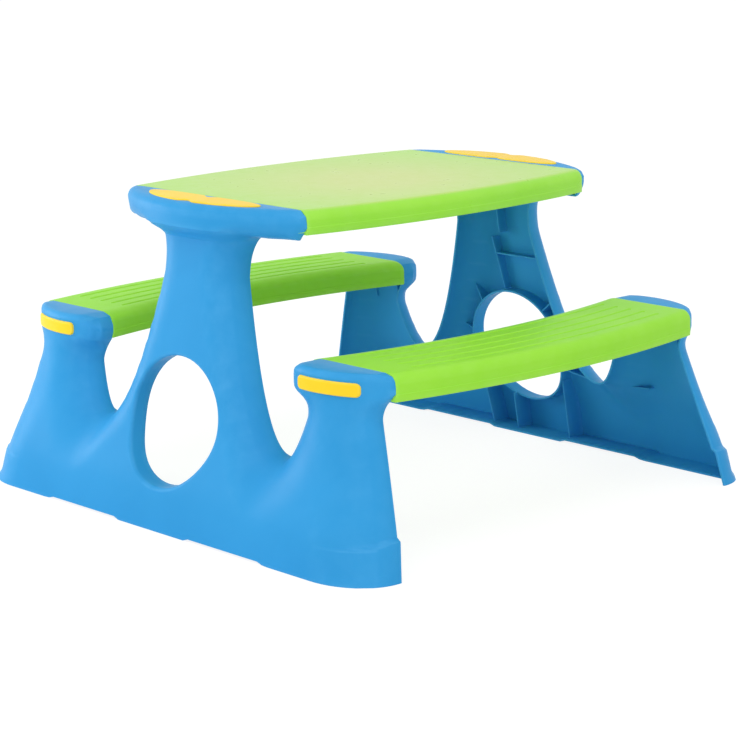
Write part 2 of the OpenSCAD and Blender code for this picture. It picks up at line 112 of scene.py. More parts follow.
def nearest(path: Array, across: Array, up: Array) -> tuple[Array, Array]:
    """Distance to a path, and the nearest place on it.

    Args:
        path: corners of the path, one row each.
        across: first coordinate of each point.
        up: second coordinate of each point.

    Returns:
        The distances, and the nearest places, one row each.
    """
    points = stack(across, up)
    best = np.full(len(points), np.inf)
    foot = np.zeros_like(points)
    for start, end in zip(path[:-1], path[1:]):
        along = end - start
        share = np.clip((points - start) @ along / (along @ along), 0.0, 1.0)
        place = start + share[:, None] * along
        distance = np.hypot(*(points - place).T)
        closer = distance < best
        best[closer] = distance[closer]
        foot[closer] = place[closer]
    return best, foot


def gap_to(path: Array, across: Array, up: Array) -> Array:
    """Distance to a path."""
    return nearest(path, across, up)[0]


def inside(path: Array, across: Array, up: Array) -> Array:
    """True for each point that lies within a closed path.

    Args:
        path: corners of the path, one row each.
        across: first coordinate of each point.
        up: second coordinate of each point.

    Returns:
        One truth value for each point.
    """
    odd = np.zeros(len(across), bool)
    for start, end in zip(path, np.roll(path, -1, axis=0)):
        spans = (start[1] > up) != (end[1] > up)
        if spans.any():
            slope = (end[0] - start[0]) / (end[1] - start[1])
            odd ^= spans & (across < start[0] + (up - start[1]) * slope)
    return odd


def soften(corners: Array, spacing: float, spread: float) -> Array:
    """Resamples a path evenly and rounds its corners.

    Args:
        corners: corners of the path.
        spacing: distance between the new points.
        spread: how far a corner's rounding reaches.

    Returns:
        The new points. Both ends stay where they are.
    """
    run = np.concatenate([[0.0], np.cumsum(np.hypot(*np.diff(corners, axis=0).T))])
    steps = np.linspace(0.0, run[-1], int(run[-1] / spacing) + 1)
    path = stack(*(np.interp(steps, run, axis) for axis in corners.T))
    reach = int(3 * spread / spacing)
    weights = np.exp(-0.5 * (np.arange(-reach, reach + 1) * spacing / spread) ** 2)
    weights /= weights.sum()
    low = 2 * path[0] - path[reach:0:-1]
    high = 2 * path[-1] - path[-2 : -reach - 2 : -1]
    padded = np.concatenate([low, path, high])
    return stack(*(np.convolve(axis, weights, "valid") for axis in padded.T))


def between(path: Array, start: Pair, end: Pair) -> Array:
    """The part of a path from the point nearest to start to the one nearest to end."""
    first, last = (int(np.argmin(np.hypot(*(path - np.array(p)).T))) for p in (start, end))
    return path[first : last + 1]


class Part(Enum):
    """What is picked in edit mode."""

    VERT = "VERT"
    EDGE = "EDGE"
    FACE = "FACE"


class Axis(Enum):
    """The axes of the table."""

    X = 0
    Y = 1
    Z = 2


class Workpiece:
    """A mesh object that is shaped with the operators of edit mode."""

    def __init__(self, name: str, primitive: Callable[..., set], **size: object) -> None:
        """Adds a primitive and opens it for editing.

        Args:
            name: name of the object.
            primitive: the operator that adds it.
            size: its size and place.
        """
        bpy.ops.object.select_all(action="DESELECT")
        primitive(**size)
        self.item = bpy.context.object
        self.item.name = self.item.data.name = name
        bpy.ops.object.transform_apply(location=True, rotation=True, scale=True)
        bpy.ops.object.mode_set(mode="EDIT")
        bpy.ops.mesh.select_all(action="DESELECT")

    @classmethod
    def grid(cls, name: str, columns: int, rows: int, **turn: object) -> "Workpiece":
        """A flat grid that runs from -1 to 1 both ways, unless it is turned and scaled."""
        add_grid = bpy.ops.mesh.primitive_grid_add
        return cls(name, add_grid, x_subdivisions=columns, y_subdivisions=rows, size=2, **turn)

    @property
    def cage(self) -> bmesh.types.BMesh:
        """The mesh under the operators."""
        return bmesh.from_edit_mesh(self.item.data)

    def clear(self, part: Part) -> None:
        """Picks nothing, and sets what the next pick is made of."""
        bpy.ops.mesh.select_mode(type=part.value)
        bpy.ops.mesh.select_all(action="DESELECT")

    def pick_all(self) -> None:
        """Selects the whole mesh."""
        bpy.ops.mesh.select_all(action="SELECT")

    def pick(self, part: Part, test: Test) -> None:
        """Selects the vertices, or the faces by their middles, that pass a test.

        Args:
            part: what is picked.
            test: says which places are picked.
        """
        self.clear(part)
        cage = self.cage
        items = list(cage.verts if part is Part.VERT else cage.faces)
        spots = [v.co if part is Part.VERT else v.calc_center_median() for v in items]
        for item, chosen in zip(items, test(*np.array(spots).T)):
            if chosen:
                item.select_set(True)
        cage.select_flush_mode()
        bmesh.update_edit_mesh(self.item.data)

    def pick_border(self, test: Test) -> None:
        """Selects the open edges of which both ends pass a test.

        Args:
            test: says at which places a picked edge may end.
        """
        self.clear(Part.EDGE)
        cage = self.cage
        cage.verts.index_update()
        passed = test(*np.array([v.co for v in cage.verts]).T)
        for edge in cage.edges:
            if edge.is_boundary and all(passed[v.index] for v in edge.verts):
                edge.select_set(True)
        bmesh.update_edit_mesh(self.item.data)

    def place(self, move: Move, picked: bool = True) -> None:
        """Moves the selected vertices, or all of them.

        Args:
            move: gives the new places.
            picked: False to move every vertex.
        """
        verts = [v for v in self.cage.verts if v.select or not picked]
        spots = np.array([v.co for v in verts]).T
        for vert, spot in zip(verts, stack(*move(*spots))):
            vert.co = spot
        bmesh.update_edit_mesh(self.item.data)

    def pull(self, move: Move) -> None:
        """Extrudes what is selected and places what is new."""
        bpy.ops.mesh.extrude_region_move()
        self.place(move)

    def delete(self, part: Part) -> None:
        """Deletes what is selected."""
        bpy.ops.mesh.delete(type=part.value)

    def merge(self, distance: float) -> None:
        """Merges selected vertices that lie closer than a distance."""
        bpy.ops.mesh.remove_doubles(threshold=distance)

    def fill(self, test: Test) -> None:
        """Closes the open edges that pass a test with a face."""
        self.pick_border(test)
        bpy.ops.mesh.edge_face_add()

    def outwards(self) -> None:
        """Turns every face outwards."""
        bpy.ops.mesh.select_mode(type=Part.FACE.value)
        self.pick_all()
        bpy.ops.mesh.normals_make_consistent(inside=False)

    def face(self, axis: Axis) -> None:
        """Turns every face of a sheet to the side of its furthest face along an axis.

        Args:
            axis: the axis that the furthest face looks along.
        """
        self.outwards()
        furthest = max(self.cage.faces, key=lambda f: f.calc_center_median()[axis.value])
        if furthest.normal[axis.value] < 0:
            bpy.ops.mesh.flip_normals()

    def close(self) -> bpy.types.Object:
        """Leaves edit mode and returns the object."""
        bpy.ops.object.mode_set(mode="OBJECT")
        return self.item


def select_only(*items: bpy.types.Object) -> None:
    """Selects objects and nothing else. The first becomes the active one.

    Args:
        items: the objects.
    """
    bpy.ops.object.select_all(action="DESELECT")
    for item in items:
        item.select_set(True)
    bpy.context.view_layer.objects.active = items[0]


def wall(item: bpy.types.Object, thickness: float, offset: float = -1.0) -> None:
    """Gives a surface its wall, inwards by default.

    Args:
        item: the surface.
        thickness: thickness of the wall.
        offset: -1 for a wall inwards of the surface, 0 for one on both sides.
    """
    bpy.context.view_layer.objects.active = item
    solid = item.modifiers.new("wall", "SOLIDIFY")
    solid.thickness, solid.offset = thickness, offset
    solid.use_even_offset = solid.use_quality_normals = True
    bpy.ops.object.modifier_apply(modifier=solid.name)


def break_edges(item: bpy.types.Object, width: float, rounds: int = 2) -> None:
    """Rounds every edge that is sharper than 60 degrees.

    Args:
        item: the object.
        width: width of the rounding.
        rounds: number of facets across it.
    """
    bpy.context.view_layer.objects.active = item
    bevel = item.modifiers.new("edges", "BEVEL")
    bevel.width, bevel.segments = width, rounds
    bevel.limit_method, bevel.angle_limit = "ANGLE", math.radians(60)
    bevel.miter_outer = "MITER_ARC"
    bpy.ops.object.modifier_apply(modifier=bevel.name)


def box(
    name: str, middle: Sequence[float], size: Sequence[float], edge: float, rounds: int
) -> bpy.types.Object:
    """A box with broken edges.

    Args:
        name: name of the object.
        middle: its middle.
        size: its size along the axes.
        edge: width of the broken edges.
        rounds: number of facets across an edge.

    Returns:
        The box.
    """
    piece = Workpiece(
        name, bpy.ops.mesh.primitive_cube_add, size=1, location=middle, scale=size
    )
    piece.pick_all()
    bpy.ops.mesh.bevel(offset=edge, segments=rounds, affect="EDGES")
    return piece.close()


def join(main: bpy.types.Object, others: Sequence[bpy.types.Object]) -> bpy.types.Object:
    """Joins objects into the first one.

    Args:
        main: the object that stays.
        others: the objects that go into it.

    Returns:
        The object that stays.
    """
    select_only(main, *others)
    bpy.ops.object.join()
    return main


def turned_copy(item: bpy.types.Object, name: str) -> bpy.types.Object:
    """A copy with its own mesh, turned half round the table's middle.

    Args:
        item: what is copied.
        name: name of the copy.

    Returns:
        The copy.
    """
    select_only(item)
    bpy.ops.object.duplicate()
    copy = bpy.context.object
    copy.name = copy.data.name = name
    bpy.ops.transform.rotate(value=math.pi, orient_axis="Z", center_override=(0.0, 0.0, 0.0))
    bpy.ops.object.transform_apply(location=True, rotation=True, scale=True)
    return copy


def mirrored_copy(item: bpy.types.Object, name: str, axis: Axis) -> bpy.types.Object:
    """A copy with its own mesh, mirrored in the middle plane across X or Y.

    Args:
        item: what is copied.
        name: name of the copy.
        axis: the axis along which the sides change.

    Returns:
        The copy.
    """
    copy = turned_copy(item, name)
    back = [1.0, 1.0, 1.0]
    back[1 - axis.value] = -1.0
    bpy.ops.object.mode_set(mode="EDIT")
    bpy.ops.mesh.select_all(action="SELECT")
    bpy.ops.transform.resize(value=back, center_override=(0.0, 0.0, 0.0))
    bpy.ops.mesh.normals_make_consistent(inside=False)
    bpy.ops.object.mode_set(mode="OBJECT")
    return copy


def mark_wear(item: bpy.types.Object, reach: float = 0.35) -> None:
    """Stores how sharply the surface turns outwards at each vertex.

    Args:
        item: the finished mesh.
        reach: angle, in radians, that counts as a full edge.
    """
    cage = bmesh.new()
    cage.from_mesh(item.data)
    turn = np.zeros(len(cage.verts))
    for edge in cage.edges:
        if edge.is_manifold and edge.is_convex:
            angle = edge.calc_face_angle()
            for vert in edge.verts:
                turn[vert.index] = max(turn[vert.index], angle)
    cage.free()
    layer = item.data.attributes.new(WEAR, "FLOAT", "POINT")
    layer.data.foreach_set("value", np.clip(turn / reach, 0.0, 1.0).astype(np.float32))


def finish(item: bpy.types.Object, look: bpy.types.Material, node: str, slot: str) -> None:
    """Smooths a finished mesh, dresses it and sets it in the place of its solid.

    Args:
        item: the finished mesh.
        look: its material.
        node: the solid that it stands for.
        slot: name of its material slot; not used.
    """
    mark_wear(item)
    select_only(item)
    bpy.ops.object.shade_smooth_by_angle(angle=math.radians(32))
    item.data.materials.clear()
    item.data.materials.append(look)
    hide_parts(node)
    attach(item, "root")
    triangles = sum(len(p.vertices) - 2 for p in item.data.polygons)
    log.info("%s stands for %s, %d triangles", item.name, node, triangles)


@dataclass(frozen=True)
class Rib:
    """A plate across the inside of an end frame, as seen from the front."""

    start: Pair
    end: Pair
    tapered: bool = False


@dataclass
class EndFrame:
    """The end frame at +X, an open-backed moulding with a head over each board's end."""

    # the table head, over the tabletop's end
    table_joint: float = 0.291
    table_top: float = 0.480
    head_bottom: float = 0.436
    head_half: float = 0.2015
    head_reach: float = 0.075
    head_corner: float = 0.009
    head_top_round: float = 0.016
    head_low_round: float = 0.012
    head_end_round: float = 0.012
    head_under_round: float = 0.026
    head_blend: Pair = (0.411, 0.436)  # heights where the column turns into the head
    head_blend_lift: float = 0.011  # lower by this within the column
    head_blend_sides: Pair = (0.150, 0.120)

    # the seat heads, over the benches' ends
    seat_top: float = 0.278
    seat_bottom: float = 0.243
    seat_inner: float = 0.229
    seat_outer: float = 0.405
    seat_reach: float = 0.054
    seat_lean: float = 0.45
    seat_round: float = 0.010
    seat_inner_edge: Pair = (0.026, 0.015)
    seat_outer_edge: Pair = (0.016, 0.016)
    seat_under_round: float = 0.009
    seat_setback: float = 0.001
    seat_blend: Pair = (0.218, 0.247)  # heights where a leg turns into its head
    under_run: float = 0.030  # depth from which a head's lower rounding is full
    joint_blend: Pair = (0.006, 0.004)  # the open edge turns upright over these heights

    # the body
    rim_foot: float = 0.352
    rim_setback: float = 0.0055
    rim_bow: float = 0.0036
    rim_bow_start: float = -0.06
    rim_bow_length: float = 0.45
    body_depth: float = 0.051
    base_flare: float = 0.030
    flare_height: float = 0.102
    flare_run: float = 0.021
    frame_wall: float = 0.003
    side_round: float = 0.050
    leg_round: float = 0.085
    side_change: Pair = (0.150, 0.215)  # places where the one turns into the other
    corner_round: float = 0.088
    edge_share: float = 0.07

    # its outline
    waist_half: float = 0.082
    waist_height: float = 0.370
    column_fillet: float = 0.050
    fillet_width: float = 0.032
    notch_y: float = 0.205
    notch_flat: float = 0.002
    notch_height: float = 0.130
    notch_bend: float = 1.04
    leg_start: float = 0.215
    neck_height: float = 0.203
    neck_inner: float = 0.250
    neck_bend: float = 1.7
    neck_top: float = 0.212
    neck_outer: float = 0.3815
    outline_step: float = 0.0025

    # the foot
    foot_side: float = 0.444
    foot_line: float = 0.4515
    boot_height: float = 0.057
    boot_step: float = 0.006
    boot_fall: float = 0.010
    boot_front: float = 0.402
    boot_reach: float = 0.120
    boot_ledge: float = 0.002
    toe_tuck: float = 0.3
    toe_reach: float = 0.090
    toe_height: float = 0.012
    strip_edge: float = 0.381
    strip_inset: float = 0.004
    strip_clear: float = 0.001  # what lies nearer than this to its edge stays
    foot_arch: float = 0.0035
    arch: Pair = (0.080, 0.255)
    arch_blend: float = 0.008

    # the hole and its collar
    hole_radius: float = 0.0975
    hole_height: float = 0.157
    hole_squash: float = 0.969
    hole_round: float = 0.005
    hole_lip: float = 0.001  # flat ring round the rounded edge
    collar_depth: float = 0.028

    # the ribs
    rib_wall: float = 0.0025
    rib_back_foot: float = 0.043
    rib_back_top: float = 0.025
    rib_foot: float = 0.004
    rib_least: float = 0.0004  # a rib ends where it is less deep than this
    rib_samples: int = 161
    rib_meets: Triple = (0.50, 0.93, 0.55)  # shares of the hole's radius
    outer_rib_drop: float = 0.030
    outer_rib: float = 0.086
    inner_rib: float = 0.032
    slant_rib: Pair = (0.088, 0.102)
    bar_drop: float = 0.055
    bar_ribs: Triple = (0.020, 0.036, 0.054)
    bar_reach: float = 0.028
    bar_end: float = 0.062
    top_rib: float = 0.017
    top_rib_lift: float = 0.037
    top_rib_root: float = 0.010
    radial_turns: Pair = (10.0, 46.0)
    radial_reach: float = 0.062
    radial_root: float = 0.003
    radial_lap: float = 0.001
    radial_tip: float = 0.006
    radial_bend: float = 0.9
    leg_gusset: tuple[Pair, Pair] = ((0.186, 0.118), (0.276, 0.124))
    column_gusset: tuple[Pair, Pair] = ((0.098, 0.128), (0.142, 0.121))
    pad_offset: float = 0.028
    pad_length: float = 0.045
    pad_root: float = 0.004

    # the mesh: first height, spacing and count of the grid's rows, dense at the ledge
    grid_rows: tuple[tuple[float, float, int], ...] = (
        (-0.020, 0.005, 13),
        (0.0435, 0.00125, 15),
        (0.0645, 0.005, 84),
    )
    grid_half: float = 0.456
    cell: float = 0.005
    core: float = 0.010  # the grid ends at this distance from the outline
    weld: float = 0.0007
    edge_rings: tuple[float, ...] = (0.0073, 0.0048, 0.0027, 0.0012, 0.0003, 1e-6)
    hole_rings: tuple[float, ...] = (0.0041, 0.0025, 0.0013, 0.0004, 0.0)
    wall_steps: tuple[float, ...] = (0.12, 1.0)
    collar_steps: tuple[float, ...] = (0.1, 0.55, 1.0)
    edge_width: float = 0.0008
    rib_edge: float = 0.0005
    rib_cell: float = 0.006

    def __post_init__(self) -> None:
        """Works out the outline and the parts of it that the front rounds off towards."""
        rise = (self.table_top + self.head_bottom) / 2
        self.slope = (self.rim_foot - self.table_joint + self.rim_setback) / rise
        seat_level = (self.seat_top + self.seat_bottom) / 2
        self.seat_joint = self.line(seat_level) + self.seat_setback
        self.seat_mid = (self.seat_inner + self.seat_outer) / 2
        self.head_sag = self.head_reach - self.head_corner
        self.head_arc = (self.head_half**2 + self.head_sag**2) / (2 * self.head_sag)
        self.outline = soften(self.half_outline(), self.outline_step, self.outline_step)

        head_end = (self.head_half, self.head_bottom + self.head_low_round)
        fillet_end = (self.waist_half, self.head_bottom - self.column_fillet)
        inner_low = (self.seat_inner, self.seat_bottom)
        outer_low = (self.seat_outer, self.seat_bottom)
        outer_top = (self.seat_outer, self.seat_top - self.seat_outer_edge[1])
        neck_in, neck_out = (self.neck_inner, self.neck_height), (self.neck_outer, self.neck_top)
        below_foot = tuple(self.outline[-1])
        self.inner_path = between(self.outline, head_end, inner_low)
        self.outer_path = between(self.outline, outer_low, below_foot)
        self.seat_path = between(self.outline, inner_low, outer_top)
        self.under_head = between(self.outline, head_end, fillet_end)
        self.under_seat = (
            between(self.outline, neck_in, inner_low),
            between(self.outline, outer_low, neck_out),
        )

    def half_outline(self) -> Array:
        """Front view of the half at +Y, from the middle of the head's top to below the foot.

        Returns:
            The corners of the line, one row each.
        """
        sin, cos, run = np.sin(QUARTER), np.cos(QUARTER), ALONG
        side, top, low = self.head_half, self.table_top, self.head_bottom
        big, under = self.head_top_round, self.head_low_round
        waist, neck = self.waist_half, self.neck_inner
        column_root, leg_root = self.notch_y - self.notch_flat, self.notch_y + self.notch_flat
        drop = self.waist_height - self.notch_height
        rise = self.neck_height - self.notch_height
        seat, seat_low = self.seat_top, self.seat_bottom
        (wide, deep), (broad, tall) = self.seat_inner_edge, self.seat_outer_edge
        bulge = self.seat_outer - self.neck_outer
        splay = (self.foot_line - self.neck_outer) * self.boot_height
        bend = self.foot_line - splay / self.neck_top
        parts = [
            [(0.0, top)],
            stack(side - big + big * sin, top - big + big * cos),
            stack(side - under + under * cos, low + under - under * sin),
            stack(waist + self.fillet_width * (1 - sin), low - self.column_fillet * (1 - cos)),
            stack(
                waist + (column_root - waist) * run,
                self.waist_height - drop * (1 - (1 - run) ** 2),
            ),
            stack(
                leg_root + (neck - leg_root) * run**self.notch_bend,
                self.notch_height + rise * run**2,
            ),
            stack(
                neck - (neck - self.seat_inner) * run**self.neck_bend,
                self.neck_height + (seat_low - self.neck_height) * run,
            ),
            stack(self.seat_inner + wide * (1 - cos), seat - deep * (1 - sin)),
            stack(self.seat_outer - broad * (1 - sin), seat - tall * (1 - cos)),
            stack(
                self.seat_outer - bulge * (1 - arc_rise(1 - run)),
                seat_low - (seat_low - self.neck_top) * run,
            ),
            [(bend, self.boot_height), (self.foot_side, 0.0)],
            [(2 * self.foot_side - bend, -self.boot_height)],
        ]
        path = np.concatenate([np.array(part, float) for part in parts])
        keep = np.concatenate([[True], np.hypot(*np.diff(path, axis=0).T) > TOUCH])
        return path[keep]

    def line(self, z: Value) -> Value:
        """The straight line that the front and the open edge lean along."""
        return self.rim_foot - z * self.slope

    def rim(self, z: Value) -> Value:
        """Distance of the open edge from the table's middle, at a height."""
        share = np.clip((z - self.rim_bow_start) / self.rim_bow_length, 0.0, 1.0)
        return self.line(z) - self.rim_bow * np.sin(math.pi * share)

    def flare(self, z: Array) -> Array:
        """How far the front stands out further near the ground."""
        return self.base_flare / (1.0 + np.exp((z - self.flare_height) / self.flare_run))

    def from_hole(self, y: Array, z: Array) -> Array:
        """Distance from the edge of the hole, which is a little wider than it is tall."""
        return np.hypot(y, (z - self.hole_height) / self.hole_squash) - self.hole_radius

    def open_edge(self, y: Array, z: Array) -> Array:
        """Where the walls end towards the table: upright at the heads.

        Args:
            y: places across the table.
            z: heights.

        Returns:
            Distances from the table's middle.
        """
        table_run, seat_run = self.joint_blend
        table = fade(z, self.head_bottom - table_run, self.head_bottom)
        seat = fade(z, self.seat_bottom - seat_run, self.seat_bottom)
        seat = seat * (np.abs(y) > self.leg_start)
        x = self.rim(z) * (1 - table) + self.table_joint * table
        return x * (1 - seat) + self.seat_joint * seat

    def full_front(self, z: Array) -> Array:
        """The front face away from every edge."""
        return self.line(z) + self.body_depth + self.flare(z)

    def table_plan(self, y: Array) -> Array:
        """The shallow arc along the table head's front, from the joint."""
        return np.sqrt(np.maximum(0.0, self.head_arc**2 - y**2)) - self.head_arc + self.head_sag

    def table_head(self, y: Array, z: Array, under: Array) -> Array:
        """Front of the table head: a shallow arc with rounded edges.

        Args:
            y: distance from the middle.
            z: height.
            under: distance from the head's lower edge.

        Returns:
            How far the front stands from the table's middle.
        """
        cut = edge_drop(self.table_top - z, self.head_top_round)
        lower = edge_drop(z - self.head_bottom, self.head_low_round) * (z > self.head_bottom)
        end = self.head_half - np.maximum(cut, lower) - y
        arc = np.maximum(0.0, self.table_plan(y))
        plan = arc + self.head_corner * ease(end, self.head_end_round)
        below = edge_drop(under, self.head_under_round) * np.minimum(1.0, plan / self.under_run)
        return self.table_joint + np.maximum(THIN, plan - cut - below)

    def seat_plan(self, y: Array, inset: Value) -> Array:
        """Plan of a seat head: half an ellipse that leans towards the middle.

        Args:
            y: distance from the table's middle.
            inset: how far the line lies inside the head's outline.

        Returns:
            How far the line stands from the seat joint.
        """
        half = (self.seat_outer - self.seat_inner) / 2 - inset
        across = np.clip((y - self.seat_mid) / half, -1.0, 1.0)
        lean = self.seat_lean / half
        a = lean**2 + 1.0 / (self.seat_reach - inset) ** 2
        b = lean * across
        return (np.sqrt(np.maximum(0.0, b**2 - a * (across**2 - 1.0))) - b) / a

    def seat_fall(self, y: Array) -> Array:
        """How far the rounded top of a seat head lies below its middle, at a place.

        Args:
            y: places across the table.

        Returns:
            How far the top lies lower there.
        """
        (wide, deep), (broad, tall) = self.seat_inner_edge, self.seat_outer_edge
        inner = deep * (1.0 - ease(y - self.seat_inner, wide))
        return inner + tall * (1.0 - ease(self.seat_outer - y, broad))

    def seat_head(self, y: Array, z: Array, under: Array) -> Array:
        """Front of a seat head, with rounded edges.

        Args:
            y: distances from the middle.
            z: heights.
            under: distances from the head's lower edge.

        Returns:
            Distances from the table's middle.
        """
        plan = self.seat_plan(y, edge_drop(gap_to(self.seat_path, y, z), self.seat_round))
        below = edge_drop(under, self.seat_under_round) * np.minimum(1.0, plan / self.under_run)
        return self.seat_joint + np.maximum(THIN, plan - below)

    def front(self, across: Array, z: Array) -> Array:
        """The front face, rounded off towards every edge, with the heads blended in.

        Args:
            across: places across the table.
            z: heights.

        Returns:
            Distances from the table's middle.
        """
        y = np.abs(across)
        inner, outer = gap_to(self.inner_path, y, z), gap_to(self.outer_path, y, z)
        side = self.side_round + (self.leg_round - self.side_round) * fade(y, *self.side_change)
        share = ease(inner, side) * ease(outer, self.corner_round)
        tuck = self.toe_tuck * fade(outer, self.toe_reach, 0.0) * fade(z, 0.0, self.toe_height)
        rim = self.rim(z)
        depth = self.full_front(z) - self.flare(z) * tuck - rim
        x = rim + depth * (self.edge_share + (1 - self.edge_share) * share)
        high = z > self.head_blend[0]
        if high.any():
            lift = self.head_blend_lift * fade(y[high], *self.head_blend_sides)
            blend = fade(z[high] - lift, *self.head_blend)
            head = self.table_head(y[high], z[high], gap_to(self.under_head, y[high], z[high]))
            x[high] += (head - x[high]) * blend
        seat = (z > self.seat_blend[0]) & (y > self.leg_start)
        if seat.any():
            under = np.minimum(*(gap_to(path, y[seat], z[seat]) for path in self.under_seat))
            head = self.seat_head(y[seat], z[seat], under)
            x[seat] += (head - x[seat]) * fade(z[seat], *self.seat_blend)
        return x - edge_drop(self.from_hole(y, z), self.hole_round)

    def shell(self) -> bpy.types.Object:
        """Shapes the outside of the frame from one flat grid and gives it its wall.

        Returns:
            The shell, without its ribs.
        """
        piece = self.sheet()

        # cut off at the ground, arched a little between the feet
        piece.pick_all()
        bpy.ops.mesh.bisect(plane_co=(0, 0, 0), plane_no=(0, 0, 1), clear_inner=True)
        piece.pick(Part.VERT, lambda x, y, z: z < TOUCH)
        piece.place(lambda x, y, z: (x, y, self.foot_arch * self.arched(np.abs(y))))
        piece.place(lambda x, y, z: (self.front(y, z), y, z), picked=False)

        # side walls back to the open edge, and the collar round the hole
        for share in self.wall_steps:
            piece.pick_border(
                lambda x, y, z: (gap_to(self.outline, np.abs(y), z) < TOUCH)
                & (x > self.open_edge(y, z) + HAIR)
            )
            piece.pull(lambda x, y, z: (x + share * (self.open_edge(y, z) - x), y, z))
        for share in self.collar_steps:
            depth = self.hole_round + share * (self.collar_depth - self.hole_round)
            piece.pick_border(lambda x, y, z: np.abs(self.from_hole(y, z)) < TOUCH)
            piece.pull(lambda x, y, z: (self.full_front(z) - depth, y, z))

        # the strip along the bottom of the front
        narrow = 1 - self.strip_inset / self.foot_side
        piece.pick_border(
            lambda x, y, z: (z < self.foot_arch + HAIR) & (x > self.strip_edge + self.strip_clear)
        )
        piece.pull(lambda x, y, z: (self.strip_edge, y * narrow, z))
        piece.place(self.boot, picked=False)
        piece.face(Axis.X)
        item = piece.close()
        wall(item, self.frame_wall)
        break_edges(item, self.edge_width)
        self.flatten_foot(item)
        return item

    def sheet(self) -> Workpiece:
        """Cuts the front view out of a flat grid, with rings of faces along its edges.

        Returns:
            The flat sheet, open for editing.
        """
        rows = np.concatenate([low + step * np.arange(n) for low, step, n in self.grid_rows])
        piece = Workpiece.grid(
            "frame_shell",
            int(round(2 * self.grid_half / self.cell)),
            len(rows) - 1,
            rotation=(math.pi / 2, 0, math.pi / 2),
            scale=(self.grid_half, 1, 1),
        )
        spots = np.linspace(-1.0, 1.0, len(rows))
        piece.place(lambda x, y, z: (0.0, y, np.interp(z, spots, rows)), picked=False)
        closed = np.concatenate([self.outline, [(0.0, self.outline[-1][1])]])
        core, lip = self.core, self.hole_round + self.hole_lip

        def waste(x: Array, y: Array, z: Array) -> Array:
            """True for what lies outside the outline, too near it or in the hole.

            Args:
                x: places along the benches.
                y: places across the table.
                z: heights.

            Returns:
                One truth value for each place.
            """
            kept = inside(closed, np.abs(y), z) & (gap_to(self.outline, np.abs(y), z) > core)
            return ~(kept & (self.from_hole(y, z) > lip))

        def rough_edge(x: Array, y: Array, z: Array) -> Array:
            """True along the stepped edge that the waste leaves.

            Args:
                x: places along the benches.
                y: places across the table.
                z: heights.

            Returns:
                One truth value for each place.
            """
            gap = gap_to(self.outline, np.abs(y), z)
            return (gap < 2 * core) & ((z > rows[0] + HAIR) | (gap < 1.25 * core))

        piece.pick(Part.FACE, waste)
        piece.delete(Part.FACE)
        piece.pick_border(rough_edge)
        for _ in range(2):
            piece.place(self.to_edge(core))
        piece.merge(self.weld)
        for distance in self.edge_rings:
            piece.pull(self.to_edge(distance))
        piece.pick_border(lambda x, y, z: self.from_hole(y, z) < 2 * core)
        piece.place(self.to_hole(lip))
        piece.merge(self.weld)
        for distance in self.hole_rings:
            piece.pull(self.to_hole(distance))
        return piece

    def to_edge(self, distance: float) -> Move:
        """A move to a line at a distance inside the outline.

        Args:
            distance: distance from the outline.

        Returns:
            The move.
        """

        def move(x: Array, y: Array, z: Array) -> Spot:
            """Moves points along their shortest way to the outline.

            Args:
                x: places along the benches.
                y: places across the table.
                z: heights.

            Returns:
                The new places.
            """
            gap, foot = nearest(self.outline, np.abs(y), z)
            share = distance / np.maximum(gap, 1e-9)
            across = foot[:, 0] + (np.abs(y) - foot[:, 0]) * share
            return 0.0, np.where(y < 0, -across, across), foot[:, 1] + (z - foot[:, 1]) * share

        return move

    def to_hole(self, distance: float) -> Move:
        """A move to a line at a distance from the edge of the hole.

        Args:
            distance: distance from the edge.

        Returns:
            The move.
        """

        def move(x: Array, y: Array, z: Array) -> Spot:
            """Moves points towards the middle of the hole."""
            share = (self.hole_radius + distance) / (self.from_hole(y, z) + self.hole_radius)
            return x, y * share, self.hole_height + (z - self.hole_height) * share

        return move

    def arched(self, y: Array) -> Array:
        """1 where the frame stands clear of the ground, 0 where it stands on it."""
        start, end = self.arch
        return fade(y, start, start + self.arch_blend) * fade(y, end, end - self.arch_blend)

    def boot(self, x: Array, y: Array, z: Array) -> Spot:
        """Moves what lies below the ledge outwards; the ledge falls towards the front.

        Args:
            x: places along the benches.
            y: places across the table.
            z: heights.

        Returns:
            The new places.
        """
        ledge = self.boot_height - self.boot_fall * fade(x, self.rim_foot, self.boot_front)
        step = self.boot_step * fade(z, ledge + self.boot_ledge, ledge - self.boot_ledge)
        share = fade(gap_to(self.outer_path, np.abs(y), z), self.boot_reach, 0.0)
        return x, y + step * share * np.sign(y), z

    def flatten_foot(self, item: bpy.types.Object) -> None:
        """Presses what lies below the ground flat onto it.

        Args:
            item: the shell.
        """
        bpy.ops.object.mode_set(mode="EDIT")
        bpy.ops.mesh.select_mode(type=Part.VERT.value)
        bpy.ops.mesh.select_all(action="DESELECT")
        for vert in bmesh.from_edit_mesh(item.data).verts:
            vert.select_set(vert.co.z < 0.0)
        bmesh.update_edit_mesh(item.data)
        bpy.ops.transform.resize(value=(1.0, 1.0, 0.0), center_override=(0.0, 0.0, 0.0))
        bpy.ops.object.mode_set(mode="OBJECT")

    def rib_back(self, z: Array) -> Array:
        """How deep the ribs reach towards the table, at a height.

        Args:
            z: heights.

        Returns:
            Distances from the table's middle.
        """
        low = self.rim_foot + self.rib_back_foot
        high = self.rim(self.table_top) + self.rib_back_top
        return low + (high - low) * z / self.table_top

